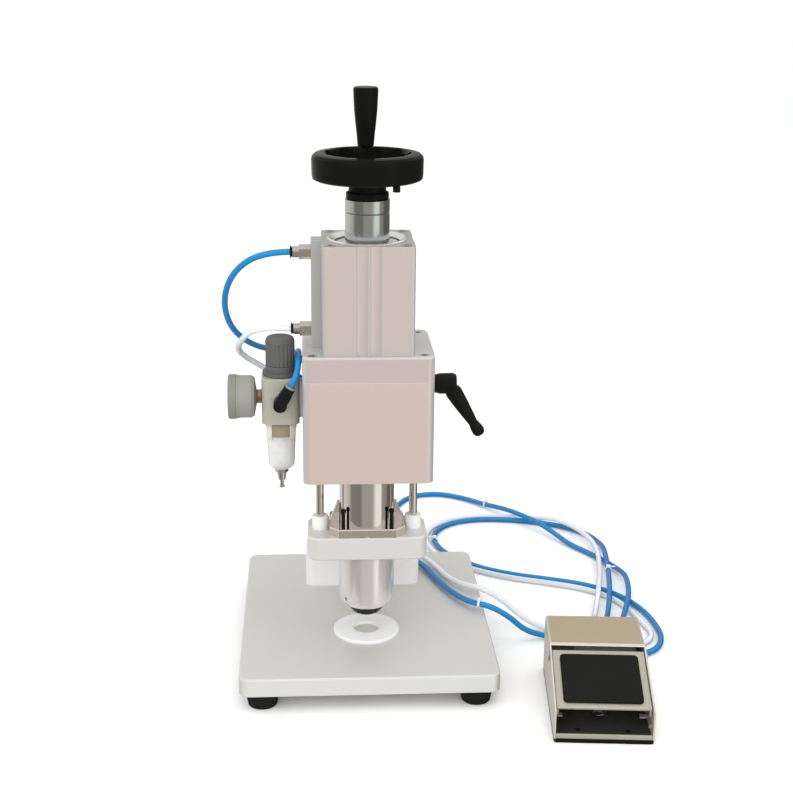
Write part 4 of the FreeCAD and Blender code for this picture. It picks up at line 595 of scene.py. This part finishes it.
def makeGaugeParts():
    sizes = gaugeSizes
    left = (-1, 0, 0)
    work = bmesh.new()
    spun(work, sizes["bezel"], placeAt((sizes["bezelX"], 0, sizes["up"]), left), 72)
    addPiece("gauge_bezel", toMesh(work, "gaugeBezel"), "head", "bezelGrey")
    work = bmesh.new()
    spun(work, sizes["dial"], placeAt((sizes["dialX"], 0, sizes["up"]), left), 72)
    addPiece("gauge_dial", toMesh(work, "gaugeDial"), "head", "dial")
    work = bmesh.new()
    for index in range(sizes["ticks"] + 1):
        angle = math.radians(-sizes["sweep"] / 2 + index * sizes["sweep"] / sizes["ticks"])
        inner = sizes["longFrom"] if index % 7 == 0 else sizes["tickFrom"]
        size = (0.05, sizes["tickWide"], sizes["tickTo"] - inner)
        place = placeAt((sizes["dialX"] - 0.13, 0, sizes["up"])) @ Matrix.Rotation(angle, 4, "X")
        shift = Matrix.Translation((0, 0, (inner + sizes["tickTo"]) / 2000))
        bmesh.ops.create_cube(work, size=0.001, matrix=place @ shift @ Matrix.Diagonal((*size, 1)))
    addPiece("gauge_ticks", toMesh(work, "gaugeTicks"), "head", "blackSatin")
    work = bmesh.new()
    spun(work, sizes["stem"], placeAt((sizes["stemX"], 0, sizes["up"]), left))
    addPiece("gauge_collar", toMesh(work, "gaugeCollar"), "head", "brass")


makeGaugeParts()


# Bright retaining ring round the recess of the cylinder cover, sloping in to the cover
coverRingSizes = {
    "up": 436.5,
    "outline": [(37.8, 0.02), (37.8, 0.6), (37.2, 1.3), (36.2, 1.6), (35.2, 1.4), (30.4, -1.7), (30.4, -1.95),
                (34.7, -1.95), (34.7, 0.02)],
}


def makeCoverRing():
    work = bmesh.new()
    spun(work, coverRingSizes["outline"], placeAt((0, 0, coverRingSizes["up"])), 96)
    addPiece("cover_ring", toMesh(work, "coverRing"), "head", "polished")


makeCoverRing()


# Steel band on the hub of the clamping lever
leverBandSizes = {
    "spot": (62.7, 131, 255),
    "outline": [(8.3, 0), (8.7, 0), (8.95, 0.3), (8.95, 2.1), (8.7, 2.4), (8.3, 2.4)],
}


def makeLeverBand():
    work = bmesh.new()
    spun(work, leverBandSizes["outline"], placeAt(leverBandSizes["spot"], (1, 0, 0)))
    addPiece("lever_band", toMesh(work, "leverBand"), "clamp_lever", "steel")


makeLeverBand()


# Pedal: folded nickel lip of the tray, stop tabs on the side walls, screws
pedalSizes = {
    "lip": ((-44.2, 0.2, 4.0), (44.2, 2.25, 8.6)), "tabs": ((36.0, 29.0, 10.0), (44.3, 35.5, 11.7)),
    "traySpots": ((-22.5, 16.3, 4.05), (23.5, 14.7, 4.05)),
    "wallSpots": (((-44.4, 23, 8.5), (1, 0, 0)), ((44.4, 17.5, 8.5), (-1, 0, 0))),
    "screw": [(0.03, 0.5), (0.95, 0.5), (0.95, 1.35), (1.3, 1.5), (2.0, 1.2), (2.4, 0.6), (2.5, 0),
              (0.03, 0)],
}


def makePedalTrim():
    sizes = pedalSizes
    work = bmesh.new()
    softBox(work, *sizes["lip"], 0.5, pedalPlace)
    low, high = sizes["tabs"]
    softBox(work, low, high, 0.5, pedalPlace)
    softBox(work, (-high[0], low[1], low[2]), (-low[0], high[1], high[2]), 0.5, pedalPlace)
    for spot, direction in sizes["wallSpots"]:
        spun(work, sizes["screw"], pedalPlace @ placeAt(spot, direction), 28)
    addPiece("pedal_trim", toMesh(work, "pedalTrim"), "stand", "treadleNickel")
    work = bmesh.new()
    for spot in sizes["traySpots"]:
        spun(work, sizes["screw"], pedalPlace @ placeAt(spot), 28)
    addPiece("tray_screws", toMesh(work, "trayScrews"), "stand", "blackSatin")


makePedalTrim()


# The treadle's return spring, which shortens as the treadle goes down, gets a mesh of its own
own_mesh(cad["treadle_spring"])


# White cable ties on the hoses: a toothed band, its lock head and the cut tail
tieSizes = {
    "band": [(3.03, -1.2), (3.5, -1.3), (3.75, -1.0), (3.75, 1.0), (3.5, 1.3), (3.03, 1.2)],
    "head": ((-2.3, 3.3, -1.9), (2.3, 6.3, 1.9)), "tail": ((2.0, 4.3, -1.1), (8.0, 5.2, 1.1)),
    "spots": (("hose_top", (171.5, 415.5, 5.1)), ("hose_supply", (94.9, 301.4, 4.0)),
              ("hose_supply", (286.5, 188.8, 11.3)), ("hose_supply", (120.5, 41.0, 40.8))),
}


def makeTie(index, hose, spot):
    line = hoseLines[hose]
    target = Vector(spot) / 1000
    nearest = min(range(1, len(line) - 1), key=lambda k: (line[k] - target).length)
    along = (line[nearest + 1] - line[nearest - 1]).normalized()
    up = (Vector((0, 0, 1)) - along * along.z).normalized()
    turn = Matrix((up.cross(along), up, along)).transposed().to_4x4()
    place = Matrix.Translation(line[nearest]) @ turn
    work = bmesh.new()
    spun(work, tieSizes["band"], place, 32)
    softBox(work, *tieSizes["head"], 0.5, place)
    softBox(work, *tieSizes["tail"], 0.3, place)
    name = "cable_tie_%d" % (index + 1)
    tie = addPiece(name, toMesh(work, name), "stand", "nylon")
    onHose[hose].append(tie)


for index, (hose, spot) in enumerate(tieSizes["spots"]):
    makeTie(index, hose, spot)
print("stage: small pieces made")


# Stage: a white floor and surround, dark bands that only reflections see, and soft lamps
stageSizes = {
    "floor": 12.0, "surround": 1.0, "floorTone": 1.0, "bounceTone": 0.60,
    "keyPower": 9.0, "topPower": 7.0, "fillPower": 2.0, "frontPower": 22.0,
}


def makeWorld():
    world = bpy.data.worlds.new("surround")
    scene.world = world
    world.use_nodes = True
    tree = world.node_tree
    tree.nodes.clear()
    make = nodeMaker(tree)
    ray = make("ShaderNodeLightPath")
    split = make("ShaderNodeSeparateXYZ", {0: make("ShaderNodeTexCoord").outputs["Generated"]})
    angle = make("ShaderNodeMath", {0: split.outputs[1], 1: split.outputs[0]}, operation="ARCTAN2")
    band = make("ShaderNodeValToRGB", {0: make("ShaderNodeMapRange", {
        "Value": angle.outputs[0], "From Min": -math.pi, "From Max": math.pi}).outputs[0]})
    ramp = band.color_ramp
    stops = [(0.0, 0.62), (0.03, 0.55), (0.06, 0.25), (0.17, 0.24), (0.205, 0.42), (0.31, 0.41),
             (0.345, 0.85), (0.36, 1.02), (0.41, 1.05), (0.435, 0.36), (0.49, 0.30), (0.52, 0.14),
             (0.66, 0.16), (0.74, 0.40), (0.78, 0.75), (0.92, 0.80), (1.0, 0.62)]
    while len(ramp.elements) < len(stops):
        ramp.elements.new(0.5)
    for element, (spot, value) in zip(ramp.elements, stops):
        element.position = spot
        element.color = (value, value * (0.93 + 0.05 * value), value * (0.80 + 0.15 * value), 1)
    high = make("ShaderNodeMapRange", {"Value": split.outputs[2], "From Min": 0.15, "From Max": 0.5})
    dome = make("ShaderNodeMix", {0: high.outputs[0], 6: band.outputs[0], 7: (0.85, 0.85, 0.85, 1)},
                data_type="RGBA")
    plain = make("ShaderNodeMix", {0: ray.outputs["Is Glossy Ray"], 6: (1.0, 1.0, 1.0, 1),
                                   7: dome.outputs[2]}, data_type="RGBA")
    back = make("ShaderNodeBackground", {"Color": plain.outputs[2], "Strength": stageSizes["surround"]})
    make("ShaderNodeOutputWorld", {"Surface": back.outputs[0]})


# Soft lamps give the diffuse light alone; reflections see only the surround
def makeLamp(name, spot, target, size, power, colour=(1, 1, 1)):
    data = bpy.data.lights.new(name, "AREA")
    data.shape = "RECTANGLE"
    data.size, data.size_y = size
    data.energy = power
    data.color = colour
    lamp = bpy.data.objects.new(name, data)
    lamp.location = spot
    lamp.rotation_mode = "QUATERNION"
    lamp.rotation_quaternion = (Vector(target) - Vector(spot)).to_track_quat("-Z", "Y")
    lamp.visible_glossy = False
    scene.collection.objects.link(lamp)


# The floor is white to the eye and dimmer as a source of bounced light; reflections go through to the bands
def makeFloor():
    half = stageSizes["floor"] / 2
    work = bmesh.new()
    plan = ((-half, -half), (half, -half), (half, half), (-half, half))
    corners = [work.verts.new((x, y, -0.0002)) for x, y in plan]
    work.faces.new(corners)
    mesh = toMesh(work, "floor")
    material = bpy.data.materials.new("floor")
    material.use_nodes = True
    tree = material.node_tree
    tree.nodes.clear()
    make = nodeMaker(tree)
    ray = make("ShaderNodeLightPath")
    tone, bounce = stageSizes["floorTone"], stageSizes["bounceTone"]
    colour = make("ShaderNodeMix", {0: ray.outputs["Is Camera Ray"], 6: (bounce, bounce, bounce, 1),
                                    7: (tone, tone, tone * 0.998, 1)}, data_type="RGBA")
    body = make("ShaderNodeBsdfDiffuse", {"Color": colour.outputs[2]})
    away = make("ShaderNodeBsdfTransparent")
    mixed = make("ShaderNodeMixShader", {0: ray.outputs["Is Glossy Ray"], 1: body.outputs[0],
                                         2: away.outputs[0]})
    make("ShaderNodeOutputMaterial", {"Surface": mixed.outputs[0]})
    mesh.materials.append(material)
    floor = bpy.data.objects.new("floor", mesh)
    scene.collection.objects.link(floor)


makeWorld()
makeFloor()
makeLamp("key", (-1.1, -1.3, 1.7), (0, 0, 0.25), (1.4, 1.4), stageSizes["keyPower"])
makeLamp("top", (0.2, 0.2, 2.2), (0, 0, 0), (1.8, 1.8), stageSizes["topPower"])
makeLamp("front", (-0.2, -2.6, 1.0), (0, 0, 0.25), (2.0, 1.6), stageSizes["frontPower"])
makeLamp("fill", (1.6, -0.9, 0.9), (0.05, 0, 0.25), (0.9, 1.4), stageSizes["fillPower"])
scene.view_settings.view_transform = "Standard"
scene.view_settings.look = "None"
scene.view_settings.exposure = 0.0
print("stage: lights set")
